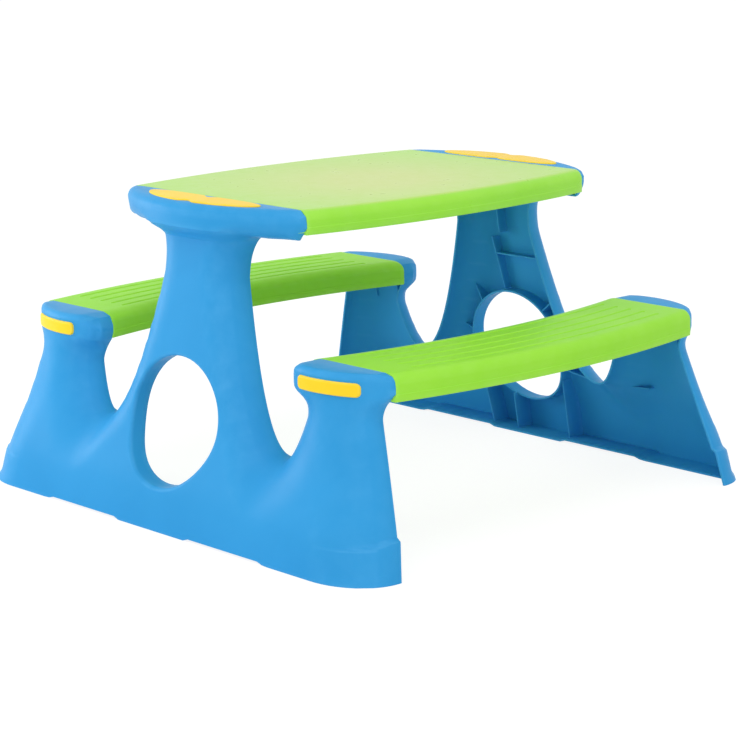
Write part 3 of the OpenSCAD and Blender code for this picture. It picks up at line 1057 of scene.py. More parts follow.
    def rib(self, rib: Rib) -> bpy.types.Object:
        """Shapes one rib, rooted in the front wall and in the walls that it meets.

        Args:
            rib: the line that it follows.

        Returns:
            The rib.
        """
        start, end = np.array(rib.start), np.array(rib.end)
        run = np.linspace(0.0, 1.0, self.rib_samples)
        y, z = (start + run[:, None] * (end - start)).T
        root = self.front(y, z) - self.frame_wall / 2
        back = self.rib_back(z)
        if rib.tapered:
            collar = self.full_front(z) - self.collar_depth + self.radial_lap
            tip = self.full_front(z) - self.radial_tip
            back = collar + (tip - collar) * run**self.radial_bend
        deep = run[root - back > self.rib_least]
        first, last = deep.min(), deep.max()
        steps = max(4, int(np.hypot(*(end - start)) * (last - first) / self.rib_cell))
        piece = Workpiece.grid("rib", steps, 3)

        def move(x: Array, y: Array, z: Array) -> Spot:
            """Places the grid between the root and the free edge.

            Args:
                x: first coordinate in the grid.
                y: second coordinate in the grid.
                z: third one, always 0.

            Returns:
                The new places.
            """
            share = first + (last - first) * (x + 1) / 2
            across, up = (start + share[:, None] * (end - start)).T
            near, far = (np.interp(share, run, line) for line in (root, back))
            return far + (near - far) * (y + 1) / 2, across, up

        piece.place(move, picked=False)
        item = piece.close()
        wall(item, self.rib_wall, 0.0)
        break_edges(item, self.rib_edge, 1)
        return item

    def ribs(self) -> list[bpy.types.Object]:
        """Shapes all the ribs inside the frame.

        Returns:
            The ribs.
        """
        hole, middle, foot = self.hole_radius, self.hole_height, self.rib_foot
        bar = self.waist_height - self.bar_drop
        low_bar, high_bar, far_bar = self.bar_ribs
        low_meet, mid_meet, slant_meet = self.rib_meets
        outer, inner, top = self.outer_rib, self.inner_rib, self.top_rib
        lines = [
            Rib((-outer, foot), (-outer, middle - hole * low_meet)),
            Rib((inner, foot), (inner, middle - hole * mid_meet)),
            Rib((self.slant_rib[0], foot), (self.slant_rib[1], middle - hole * slant_meet)),
            Rib((low_bar, middle + hole), (high_bar, bar + self.bar_reach)),
            Rib((-outer, middle + hole - self.outer_rib_drop), (-far_bar, bar + self.bar_reach)),
            Rib((self.bar_reach, bar), (-self.bar_end, bar)),
            Rib((top, bar + self.top_rib_lift), (top, self.head_bottom + self.top_rib_root)),
        ]
        near, far = hole - self.frame_wall / 2 + self.radial_root, hole + self.radial_reach
        for side in (-1, 1):
            for turn in map(math.radians, self.radial_turns):
                across, up = side * math.cos(turn), math.sin(turn)
                root, tip = ((r * across, middle + r * up) for r in (near, far))
                lines.append(Rib(root, tip, tapered=True))
            for gusset in (self.leg_gusset, self.column_gusset):
                lines.append(Rib(*((side * y, z) for y, z in gusset)))
            for offset in (-self.pad_offset, self.pad_offset):
                y, low = side * (self.seat_mid + offset), self.seat_bottom
                lines.append(Rib((y, low - self.pad_length), (y, low + self.pad_root)))
        return [self.rib(line) for line in lines]

    def build(self) -> bpy.types.Object:
        """Builds the frame at +X."""
        return join(self.shell(), self.ribs())


@dataclass
class Board:
    """What the tabletop and the benches share: a shell with rounded edges and a skirt."""

    wall: float = 0.0035
    gap: float = 0.0003
    edge_width: float = 0.0006
    seam_height: float = 0.0115  # height of the line along the skirt
    seam_half: float = 0.0012
    seam_relief: float = 0.0005
    seam_edge: float = 0.0003
    seam_lip: float = 0.0001
    skirt_edge: float = 0.0005
    rib_wall: float = 0.0025
    rib_lift: float = 0.008  # the ribs end this far above the skirt's lower edge
    rib_edge: float = 0.0004
    rib_root: float = 0.002
    rib_thinner: float = 0.0002  # of the lower plate, against the upper one
    head: EndFrame = field(default_factory=EndFrame)

    @property
    def inset(self) -> float:
        """How far a tongue lies inside the outside of its head."""
        return self.head.frame_wall + self.gap

    def skirt(self, edge: Pair, depth: float) -> list[Pair]:
        """Profile of a long edge.

        Args:
            edge: width and depth of the rounded upper edge.
            depth: depth of the skirt.

        Returns:
            Pairs of how far the surface lies inside the edge, and below the top.
        """
        turns = [math.radians(a) for a in range(10, 100, 10)]
        profile = [(edge[0] * (1 - math.sin(a)), edge[1] * (1 - math.cos(a))) for a in turns]
        seam, long = depth - self.seam_height, self.seam_half
        short, relief = self.seam_edge, self.seam_lip
        profile += [(0.0, seam - long), (relief, seam - short)]
        profile += [(-self.seam_relief, seam + short), (-self.seam_relief, seam + long)]
        return profile + [(relief, depth - long), (self.skirt_edge, depth - short), (long, depth)]

    def end_faces(self, piece: Workpiece, end: float) -> bpy.types.Object:
        """Closes both ends of a shell and gives it its wall.

        Args:
            piece: the shell, open for editing.
            end: place of its right end.

        Returns:
            The closed shell.
        """
        for side in (-end, end):
            piece.fill(lambda x, y, z: np.abs(x - side) < TOUCH)
        piece.face(Axis.Z)
        item = piece.close()
        wall(item, self.wall)
        break_edges(item, self.edge_width)
        return item

    def cross_rib(
        self, x: float, sides: Pair, clear: Pair, levels: Triple
    ) -> list[bpy.types.Object]:
        """A rib under a board, of two plates that run into each other.

        Args:
            x: its place along the board.
            sides: places of the board's two skirts.
            clear: how far the upper plate keeps away from them.
            levels: heights of the lower edge, of the lower plate's top and of the upper's.

        Returns:
            The upper plate, and the lower one, which is a little thinner.
        """
        low, shoulder, high = levels
        near, far = sides
        rooted = (self.rib_root, self.rib_root)
        plates = []
        for (a, b), top, thick in (
            (clear, high, self.rib_wall),
            (rooted, shoulder, self.rib_wall - self.rib_thinner),
        ):
            middle = (x, (near + a + far - b) / 2, (low + top) / 2)
            size = (thick, far - b - near - a, top - low)
            plates.append(box("cross_rib", middle, size, self.rib_edge, 1))
        return plates

    def tongue(
        self,
        name: str,
        joint: float,
        sides: Pair,
        plan: Line,
        levels: Pair,
        radius: float,
        fall: Line | None = None,
    ) -> bpy.types.Object:
        """The end of a board that slides into its head at +X.

        Args:
            name: name of the object.
            joint: where the board itself ends.
            sides: places of the tongue's two sides across the table.
            plan: how far its front stands from the joint, by place across the table.
            levels: heights of its lower edge and its top.
            radius: radius of its upper edge.
            fall: how far its top lies lower, by place across the table.

        Returns:
            The tongue, open below.
        """
        middle, half = (sides[0] + sides[1]) / 2, (sides[1] - sides[0]) / 2
        rows = middle + half * np.sin(np.radians(np.linspace(-90, 90, 45)))
        front = stack(joint + plan(rows), rows)
        back = [[(0.0, side), (joint, side)] for side in sides]
        loop = np.concatenate([back[0], front, back[1][::-1]])
        piece = Workpiece.grid(name, 18, len(rows) - 1)

        def top(x: Array, y: Array, z: Array) -> Spot:
            """Places the grid on the tongue's top, rounded off towards its sides and front.

            Args:
                x: first coordinate in the grid.
                y: second coordinate in the grid.
                z: third one, always 0.

            Returns:
                The new places.
            """
            across = np.interp(y, np.linspace(-1, 1, len(rows)), rows)
            share = np.sin((x + 1) * math.pi / 4)
            out = joint - self.wall / 2 + share * (plan(across) + self.wall / 2)
            drop = edge_drop(gap_to(loop, out, across), radius)
            return out, across, levels[1] - drop - (fall(across) if fall else 0.0)

        piece.place(top, picked=False)
        piece.pick_border(lambda x, y, z: gap_to(loop, x, y) < TOUCH)
        piece.pull(lambda x, y, z: (x, y, levels[0]))
        piece.face(Axis.Z)
        item = piece.close()
        wall(item, self.wall)
        return item


@dataclass
class Tabletop(Board):
    """The tabletop: both long edges bow outwards."""

    end: float = 0.2907
    joint: float = 0.291
    half: float = 0.2015
    bow: float = 0.028
    top: float = 0.480
    depth: float = 0.0355
    radius: float = 0.016
    long_rib: float = 0.070
    cross_pitch: float = 0.097
    cross_clear: Pair = (0.010, 0.010)
    cross_shoulder: float = 0.0125
    tongue_lift: float = 0.012
    tongue_play: float = 0.001

    def edge(self, x: Value) -> Value:
        """Half the width at a place along the table."""
        radius = (self.joint**2 + self.bow**2) / (2 * self.bow)
        return self.half + self.bow - radius + np.sqrt(radius**2 - x**2)

    def build(self) -> bpy.types.Object:
        """Shapes the shell, its ends and the ribs underneath.

        Returns:
            The tabletop.
        """
        tongue = self.tongue(
            "tabletop_tongue",
            self.end,
            (self.inset - self.head.head_half, self.head.head_half - self.inset),
            self.tongue_plan,
            (self.head.head_bottom + self.tongue_lift, self.top - self.inset),
            self.radius - self.inset,
        )
        other = turned_copy(tongue, "tabletop_tongue_left")
        return join(self.shell(), [*self.ribs(), tongue, other])

    def shell(self) -> bpy.types.Object:
        """Shapes the top and pulls its long edges down into skirts.

        Returns:
            The shell, without ribs and tongues.
        """
        piece = Workpiece.grid("tabletop_shell", 72, 30)
        piece.place(
            lambda x, y, z: (x * self.end, y * (self.edge(x * self.end) - self.radius), self.top),
            picked=False,
        )
        last, level = self.radius, 0.0
        for inset, drop in self.skirt((self.radius, self.radius), self.depth):
            piece.pick_border(
                lambda x, y, z: (np.abs(np.abs(y) - self.edge(x) + last) < TOUCH)
                & (np.abs(z - self.top + level) < TOUCH)
            )
            piece.pull(lambda x, y, z: (x, np.sign(y) * (self.edge(x) - inset), self.top - drop))
            last, level = inset, drop
        return self.end_faces(piece, self.end)

    def tongue_plan(self, y: Array) -> Array:
        """Front of the tongue, inside the table head's shallow arc.

        Args:
            y: places across the table.

        Returns:
            How far the front stands from the joint.
        """
        corner = ease(self.head.head_half - self.inset - np.abs(y), self.head.head_end_round)
        front = self.head.table_plan(y) + self.head.head_corner * corner
        return np.maximum(THIN, front - self.inset - self.tongue_play)

    def ribs(self) -> list[bpy.types.Object]:
        """Two ribs along the tabletop and five across it.

        Returns:
            The ribs.
        """
        low, high = self.top - self.depth + self.rib_lift, self.top - self.wall / 2
        length = 2 * self.end - self.wall
        plates = [
            box(
                "long_rib",
                (0.0, y, (low + high) / 2),
                (length, self.rib_wall, high - low),
                self.rib_edge,
                1,
            )
            for y in (-self.long_rib, self.long_rib)
        ]
        for k in range(-2, 3):
            reach = float(self.edge(k * self.cross_pitch))
            sides, levels = (-reach, reach), (low, self.top - self.cross_shoulder, high)
            plates += self.cross_rib(k * self.cross_pitch, sides, self.cross_clear, levels)
        return plates


@dataclass
class Bench(Board):
    """The bench at +Y: a slice of a large ring, with grooves along the seat."""

    end: float = 0.3149
    joint: float = 0.3152
    inner: float = 0.229
    outer: float = 0.405
    bow: float = 0.033
    top: float = 0.278
    depth: float = 0.039
    grooves: int = 5
    groove_half: float = 0.0045
    groove_depth: float = 0.0016
    groove_pitch: float = 0.027
    groove_reach: float = 0.265
    groove_floor: float = 0.42  # half-width of a groove's floor, as a share
    cross_clear: Pair = (0.020, 0.010)
    cross_shoulder: float = 0.0135
    rib_cover: float = 0.001

    # the mesh: rings beside each groove, and columns along the seat
    flank: tuple[float, ...] = (0.0013, 0.0025, 0.0032, 0.0039, 0.0045, 0.0054)
    plain_columns: int = 34
    plain_gap: float = 0.002
    turn_columns: Triple = (-0.0005, 0.0065, 0.0008)  # from, to and step at a round end
    end_columns: tuple[float, ...] = (0.272, 0.28, 0.29, 0.30, 0.308)

    def __post_init__(self) -> None:
        """Works out the ring."""
        self.far = (self.joint**2 + self.bow**2) / (2 * self.bow)
        self.centre = self.outer - math.sqrt(self.far**2 - self.joint**2)
        self.near = math.hypot(self.joint, self.inner - self.centre)
        self.middle = (self.far + self.near) / 2
        steps = np.arange(self.grooves) - (self.grooves - 1) / 2
        self.groove_rings = self.middle + steps * self.groove_pitch

    def y_at(self, x: Value, ring: Value) -> Value:
        """Distance across the table of a circle of the ring."""
        return self.centre + np.sqrt(ring**2 - x**2)

    def build(self) -> bpy.types.Object:
        """Shapes the seat with its skirts, the tongues and the ribs underneath.

        Returns:
            The bench.
        """
        head = self.head
        sides = (head.seat_inner + self.inset, head.seat_outer - self.inset)

        def plan(y: Array) -> Array:
            """Front of the tongue, inside the seat head's."""
            corner = edge_drop(y - sides[0], head.seat_round)
            return np.maximum(THIN, head.seat_plan(y, self.inset) - corner)

        def fall(y: Array) -> Array:
            """The head's rounded top, moved inwards by the tongue's inset on both sides."""
            return np.maximum(head.seat_fall(y - self.inset), head.seat_fall(y + self.inset))

        levels = (head.seat_bottom + self.inset, self.top - self.inset)
        radius = head.seat_round - self.inset
        tongue = self.tongue("bench_tongue", self.end, sides, plan, levels, radius, fall)
        other = mirrored_copy(tongue, "bench_tongue_left", Axis.X)
        return join(self.shell(), [*self.ribs(), tongue, other])

    def groove_at(self, x: Array, ring: Array) -> Array:
        """How deep the grooves are at a place, as a share. Their ends are round.

        Args:
            x: places along the seat.
            ring: distances from the ring's centre.

        Returns:
            Shares of the full depth.
        """
        beyond = np.maximum(0, np.abs(x) - self.groove_reach + self.groove_half)
        gap = np.min([np.hypot(beyond, ring - middle) for middle in self.groove_rings], axis=0)
        return fade(gap, self.groove_half, self.groove_half * self.groove_floor)

    def shell(self) -> bpy.types.Object:
        """Bends a grid into the seat, dense at the grooves, and pulls its skirts down.

        Returns:
            The shell, without ribs and tongues.
        """
        inner_edge, outer_edge = self.head.seat_inner_edge, self.head.seat_outer_edge
        flank = np.array(self.flank)
        offsets = np.concatenate([-flank, [0.0], flank])
        rings = [self.near + inner_edge[0], self.far - outer_edge[0]]
        rings += list(np.add.outer(self.groove_rings, offsets).ravel())
        rings += list(self.groove_rings[:-1] + self.groove_pitch / 2)
        rings = np.sort(np.array(rings))
        turn = self.groove_reach - self.groove_half
        low, high, step = self.turn_columns
        columns = np.concatenate(
            [
                np.linspace(0, turn - self.plain_gap, self.plain_columns),
                np.arange(turn + low, turn + high, step),
                [*self.end_columns, self.end],
            ]
        )
        columns = np.concatenate([-columns[:0:-1], columns])
        piece = Workpiece.grid("bench_shell", len(columns) - 1, len(rings) - 1)

        def seat(x: Array, y: Array, z: Array) -> Spot:
            """Bends the grid into the ring and sinks the grooves.

            Args:
                x: first coordinate in the grid.
                y: second coordinate in the grid.
                z: third one, always 0.

            Returns:
                The new places.
            """
            along = np.interp(x, np.linspace(-1, 1, len(columns)), columns)
            ring = np.interp(y, np.linspace(-1, 1, len(rings)), rings)
            level = self.top - self.groove_depth * self.groove_at(along, ring)
            return along, self.y_at(along, ring), level

        piece.place(seat, picked=False)
        for edge, ring, sign in ((inner_edge, self.near, 1), (outer_edge, self.far, -1)):
            last, level = edge[0], 0.0
            for inset, drop in self.skirt(edge, self.depth):
                piece.pick_border(
                    lambda x, y, z: (np.abs(y - self.y_at(x, ring + sign * last)) < TOUCH)
                    & (np.abs(z - self.top + level) < TOUCH)
                )
                piece.pull(
                    lambda x, y, z: (x, self.y_at(x, ring + sign * inset), self.top - drop)
                )
                last, level = inset, drop
        return self.end_faces(piece, self.end)

    def ribs(self) -> list[bpy.types.Object]:
        """Shapes the plates under the seat: one along its middle and five across it.

        Returns:
            The ribs.
        """
        low = self.top - self.depth + self.rib_lift
        high = self.top - self.groove_depth - self.rib_cover
        reach = self.end - self.wall / 2
        piece = Workpiece.grid("bench_long_rib", 40, 1)
        piece.place(
            lambda x, y, z: (
                x * reach,
                self.y_at(x * reach, self.middle),
                low + (high - low) * (y + 1) / 2,
            ),
            picked=False,
        )
        plates = [piece.close()]
        wall(plates[0], self.rib_wall, 0.0)
        for k in range(-2, 3):
            x = k * self.joint / 3
            sides = float(self.y_at(x, self.near)), float(self.y_at(x, self.far))
            levels = (low, self.top - self.cross_shoulder, high)
            plates += self.cross_rib(x, sides, self.cross_clear, levels)
        return plates


@dataclass
class Cap:
    """What both kinds of cap share: soft edges, a faint crown and two tabs."""

    sink: float = 0.0006  # how far a cap reaches into the face under it
    weld: float = 0.00005
    tab_width: float = 0.014
    tab_thickness: float = 0.004
    tab_length: float = 0.0144
    tab_edge: float = 0.0006

    def finish_bar(self, piece: Workpiece, base: Move, low: Test) -> bpy.types.Object:
        """Welds a cap's ends, pulls its edge down to the base and closes it there.

        Args:
            piece: the outside of the cap.
            base: a move onto the base.
            low: a test for what lies on the base.

        Returns:
            The closed cap.
        """
        piece.pick_all()
        piece.merge(self.weld)
        piece.pick_border(lambda x, y, z: x > 0)
        piece.pull(base)
        piece.fill(low)
        piece.outwards()
        return piece.close()

    def tab(self, middle: Sequence[float], size: Sequence[float]) -> bpy.types.Object:
        """One of the tabs that pass through the head and the tongue."""
        return box("tab", middle, size, self.tab_edge, 2)


@dataclass
class TableCap(Cap):
    """The two-lobed cap on the table head at +X."""

    joint: float = 0.291
    inset: float = 0.006
    length: float = 0.248
    width: float = 0.054
    rise: float = 0.0025
    base: float = 0.480
    head_arc: float = 0.3406
    end_power: int = 6
    waist_share: float = 0.3
    waist_run: float = 0.008
    waist_zone: float = 0.030
    row_gap: float = 0.001
    edge_round: float = 0.0024
    crown: float = 0.0007
    crown_run: float = 0.022
    tab_y: float = 0.060
    tab_depth: float = 0.0068

    def width_at(self, y: Value) -> Value:
        """Width of the cap before it is drawn in."""
        return self.width - y**2 / (2 * self.head_arc)

    def middle_at(self, y: Value) -> Value:
        """Distance of its middle line from the table's middle."""
        return self.joint + self.inset + self.width_at(y) / 2

    def half_at(self, y: Array) -> Array:
        """Half of its real width, drawn in at the waist and round at the ends.

        Args:
            y: places across the table.

        Returns:
            Half the width there.
        """
        ends = np.sqrt(np.maximum(0.0, 1 - np.abs(2 * y / self.length) ** self.end_power))
        waist = 1 - self.waist_share * np.exp(-(y**2) / (2 * self.waist_run**2))
        return self.width_at(y) / 2 * ends * waist

    def build(self) -> bpy.types.Object:
        """Shapes the lobes with soft edges, and the tabs underneath.

        Returns:
            The cap.
        """
        rows = self.length / 2 * np.sin(np.radians(np.linspace(-90, 90, 73)))
        waist = np.linspace(-self.waist_zone, self.waist_zone, 31)
        lobe_rows = rows[np.abs(rows) > self.waist_zone + self.row_gap]
        rows = np.sort(np.concatenate([lobe_rows, waist]))
        columns = np.sin(np.radians(np.linspace(-90, 90, 25)))
        around = np.linspace(-self.length / 2, self.length / 2, 600)
        middle, half = self.middle_at(around), self.half_at(around)
        loop = np.concatenate([stack(middle + half, around), stack(middle - half, around)[::-1]])
        piece = Workpiece.grid("table_cap", len(columns) - 1, len(rows) - 1)

        def lobes(x: Array, y: Array, z: Array) -> Spot:
            """Bends the grid into the two lobes, slightly crowned.

            Args:
                x: first coordinate in the grid.
                y: second coordinate in the grid.
                z: third one, always 0.

            Returns:
                The new places.
            """
            across = np.interp(y, np.linspace(-1, 1, len(rows)), rows)
            share = np.interp(x, np.linspace(-1, 1, len(columns)), columns)
            out = self.middle_at(across) + share * self.half_at(across)
            gap = gap_to(loop, out, across)
            crown = self.crown * (ease(gap, self.crown_run) - 1)
            drop = edge_drop(gap, self.edge_round - self.crown)
            return out, across, self.base + self.rise + crown - drop

        piece.place(lobes, picked=False)
        item = self.finish_bar(
            piece,
            lambda x, y, z: (x, y, self.base - self.sink),
            lambda x, y, z: z < self.base - self.sink + HAIR,
        )
        size = (self.tab_thickness, self.tab_width, self.tab_length)
        level = self.base - self.tab_depth
        tabs = [
            self.tab((self.middle_at(y), y, level), size) for y in (-self.tab_y, self.tab_y)
        ]
        return join(item, tabs)


@dataclass
class SeatCap(Cap):
    """The cap on the seat head at +X and +Y: a bar that follows the head's round front."""

    length: float = 0.108
    height: float = 0.020
    middle: float = 0.256
    corner: float = 0.007
    rise: float = 0.0035
    edge_round: float = 0.0022
    crown: float = 0.0004
    crown_run: float = 0.009
    tab_y: float = 0.035
    tab_depth: float = 0.007
    body: EndFrame = field(default_factory=EndFrame)

    def surface(self, y: Value, out: Value) -> Value:
        """The head's front, or a line at a distance outside it."""
        return self.body.seat_joint + self.body.seat_plan(y, -out)

    def build(self) -> bpy.types.Object:
        """Shapes the bar with soft edges, and the tabs behind it.

        Returns:
            The cap.
        """
        half, tall, corner = self.length / 2, self.height / 2, self.corner
        arc = stack(
            half - corner + corner * np.sin(QUARTER), tall - corner + corner * np.cos(QUARTER)
        )
        pill = [arc, arc[::-1] * (1, -1), arc * (-1, -1), arc[::-1] * (-1, 1), arc[:1]]
        pill = np.concatenate(pill) + (self.body.seat_mid, self.middle)
        across = np.concatenate([np.linspace(0, half - corner, 22), arc[1:, 0]])
        across = np.concatenate([-across[:0:-1], across])
        up = np.sin(np.radians(np.linspace(-90, 90, 21)))
        piece = Workpiece.grid("seat_cap", len(across) - 1, len(up) - 1)

        def bar(x: Array, y: Array, z: Array) -> Spot:
            """Bends the grid round the head's front, with soft edges.

            Args:
                x: first coordinate in the grid.
                y: second coordinate in the grid.
                z: third one, always 0.

            Returns:
                The new places.
            """
            spot = np.interp(x, np.linspace(-1, 1, len(across)), across)
            beyond = np.maximum(0, np.abs(spot) - half + corner)
            tall_here = tall - corner + np.sqrt(np.maximum(0, corner**2 - beyond**2))
            level = self.middle + tall_here * np.interp(y, np.linspace(-1, 1, len(up)), up)
            place = self.body.seat_mid + spot
            gap = gap_to(pill, place, level)
            drop = edge_drop(gap, self.edge_round) + self.crown * (1 - ease(gap, self.crown_run))
            return self.surface(place, self.rise - drop), place, level

        piece.place(bar, picked=False)
        item = self.finish_bar(
            piece,
            lambda x, y, z: (self.surface(y, -self.sink), y, z),
            lambda x, y, z: x < self.surface(y, 2 * HAIR - self.sink),
        )
        size = (self.tab_length, self.tab_width, self.tab_thickness)
        tabs = []
        for y in (self.body.seat_mid - self.tab_y, self.body.seat_mid + self.tab_y):
            x = float(self.surface(y, 0.0)) - self.tab_depth
            tabs.append(self.tab((x, y, self.middle), size))
        return join(item, tabs)


def add(
    tree: bpy.types.NodeTree, kind: str, *wires: bpy.types.NodeSocket, **settings: object
) -> bpy.types.Node:
    """Adds a shader node.

    Args:
        tree: the tree that it goes to.
        kind: its kind, without the prefix that all share.
        wires: outputs that lead to its first inputs, in order.
        settings: attributes of the node, and values or outputs for its named inputs.

    Returns:
        The node.
    """
    node = tree.nodes.new(f"ShaderNode{kind}")
    for key, value in settings.items():
        name = key.replace("_", " ")
        if hasattr(node, key):
            setattr(node, key, value)
        elif isinstance(value, bpy.types.NodeSocket):
            tree.links.new(value, node.inputs[name])
        else:
            node.inputs[name].default_value = value
    for output, entry in zip(wires, node.inputs):
        tree.links.new(output, entry)
    return node


def remap(
    tree: bpy.types.NodeTree, value: bpy.types.NodeSocket, source: Pair, target: Pair, **how: str
) -> bpy.types.NodeSocket:
    """Maps a value from one range to another, clamped.

    Args:
        tree: the tree that the node goes to.
        value: what is mapped.
        source: range that it comes from.
        target: range that it goes to.
        how: other settings of the node.

    Returns:
        The result's output.
    """
    limits = {"From_Min": source[0], "From_Max": source[1]}
    limits |= {"To_Min": target[0], "To_Max": target[1]}
    return add(tree, "MapRange", Value=value, **limits, **how).outputs["Result"]


def blend(
    tree: bpy.types.NodeTree,
    share: bpy.types.NodeSocket,
    first: bpy.types.NodeSocket,
    second: bpy.types.NodeSocket,
) -> bpy.types.NodeSocket:
    """Mixes two colours by a share and returns the result's output.

    Args:
        tree: the tree that the mix goes to.
        share: share of the second colour.
        first: the first colour.
        second: the second colour.

    Returns:
        The result's output.
    """
    mix = add(tree, "Mix", data_type="RGBA")
    for name, output in (("Factor", share), ("A", first), ("B", second)):
        tree.links.new(output, mix.inputs[name])
    return mix.outputs["Result"]


class Group:
    """A shader node group: its tree, what comes in and what goes out."""

    def __init__(self, name: str, exits: Sequence[str], **entries: float | None) -> None:
        """Starts the group.

        Args:
            name: its name.
            exits: names of its outputs.
            entries: names of its inputs, with an underscore for each space, and values.
        """
        self.tree = bpy.data.node_groups.new(name, "ShaderNodeTree")
        for label, value in entries.items():
            self.socket(label.replace("_", " "), "INPUT", value)
        for label in exits:
            self.socket(label, "OUTPUT", None)
        self.given = self.tree.nodes.new("NodeGroupInput").outputs
        self.made = self.tree.nodes.new("NodeGroupOutput").inputs

    def socket(self, label: str, side: str, value: float | None) -> None:
        """Adds a socket whose kind follows from its name.

        Args:
            label: its name.
            side: INPUT or OUTPUT.
            value: what an input is by default.
        """
        kind = "Vector" if label == "Vector" else "Color" if "Color" in label else "Float"
        made = self.tree.interface.new_socket(
            name=label, in_out=side, socket_type=f"NodeSocket{kind}"
        )
        if value is not None:
            made.default_value = value

    def noise(self, **settings: object) -> bpy.types.NodeSocket:
        """A noise on the group's vector; returns its output."""
        return add(self.tree, "TexNoise", Vector=self.given["Vector"], **settings).outputs["Fac"]

    def math(
        self, operation: str, *wires: bpy.types.NodeSocket, **how: bool
    ) -> bpy.types.NodeSocket:
        """A sum or product of values; returns its output."""
        return add(self.tree, "Math", *wires, operation=operation, **how).outputs[0]

    def give(self, label: str, output: bpy.types.NodeSocket) -> None:
        """Leads an output out of the group."""
        self.tree.links.new(output, self.made[label])


def grain_group() -> bpy.types.NodeTree:
    """Fine grain of the mould, with a faint sink over larger areas.

    Returns:
        The node group.
    """
    group = Group(
        "mould_grain", ["Height"], Vector=None, Grain_Scale=900.0, Sink_Scale=14.0, Sink=1.0
    )
    fine = group.noise(Detail=2.0, Roughness=0.6, Scale=group.given["Grain Scale"])
    slow = group.noise(Detail=1.0, Scale=group.given["Sink Scale"])
    group.give("Height", group.math("MULTIPLY_ADD", slow, group.given["Sink"], fine))
    return group.tree


def drift_group() -> bpy.types.NodeTree:
    """Slow drift of the colour, as where the melt met in the mould.

    Returns:
        The node group.
    """
    group = Group("colour_drift", ["Color"], Vector=None, Color=None, Drift_Color=None, Scale=6.0)
    given = group.given
    cloud = group.noise(Detail=3.0, Roughness=0.5, Distortion=0.6, Scale=given["Scale"])
    share = remap(group.tree, cloud, (0.3, 0.7), (0.0, 1.0))
    group.give("Color", blend(group.tree, share, given["Color"], given["Drift Color"]))
    return group.tree


def painted_reflection_group() -> bpy.types.NodeTree:
    """Painted reflection: a paler face above a height, strongest near the middle of the board.

    Returns:
        The node group.
    """
    group = Group("painted_reflection_top", ["Color"], Vector=None, Color=None, Pale_Color=None, Height=0.48)
    tree, given = group.tree, group.given
    axes = add(tree, "SeparateXYZ", given["Vector"])
    # painted reflection: only the top face, above the height, turns paler
    above = group.math("SUBTRACT", axes.outputs["Z"], given["Height"])
    level = remap(tree, above, (-0.0030, -0.0003), (0.0, 1.0), interpolation_type="SMOOTHSTEP")
    shift = add(tree, "Mapping", given["Vector"], Scale=(1.5, 1.5, 0.0), Location=(0.0, 0.06, 0.0))
    ball = add(tree, "TexGradient", shift.outputs["Vector"], gradient_type="SPHERICAL")
    spread = remap(tree, ball.outputs["Fac"], (0.40, 0.90), (0.18, 1.0))
    share = group.math("MULTIPLY", level, spread)
    group.give("Color", blend(tree, share, given["Color"], given["Pale Color"]))
    return tree


def wear_group() -> bpy.types.NodeTree:
    """Edges rubbed paler and smoother, broken up by a noise, and faint scuffs.

    Returns:
        The node group.
    """
    entries = {"Vector": None, "Color": None, "Rubbed_Color": None, "Edge": None}
    group = Group("rubbed_edges", ["Color", "Roughness"], **entries, Amount=0.4, Roughness=0.35)
    tree, given = group.tree, group.given
    patch = remap(tree, group.noise(Scale=38.0, Detail=4.0), (0.35, 0.65), (0.35, 1.0))
    share = group.math("MULTIPLY", group.math("MULTIPLY", patch, given["Edge"]), given["Amount"])
    group.give("Color", blend(tree, share, given["Color"], given["Rubbed Color"]))
    scuff = group.noise(Scale=55.0, Detail=5.0, Roughness=0.65)
    spread = remap(tree, scuff, (0.3, 0.75), (-0.03, 0.05))
    rough = group.math("ADD", spread, given["Roughness"], use_clamp=True)
    group.give("Roughness", rough)
    return tree


class Effects:
    """The effects that every moulded plastic shares, as shader node groups."""

    def __init__(self) -> None:
        """Builds each group once."""
        self.grain = grain_group()
        self.drift = drift_group()
        self.wear = wear_group()
        # the painted reflection on the tabletop's top face
        self.painted_reflection = painted_reflection_group()


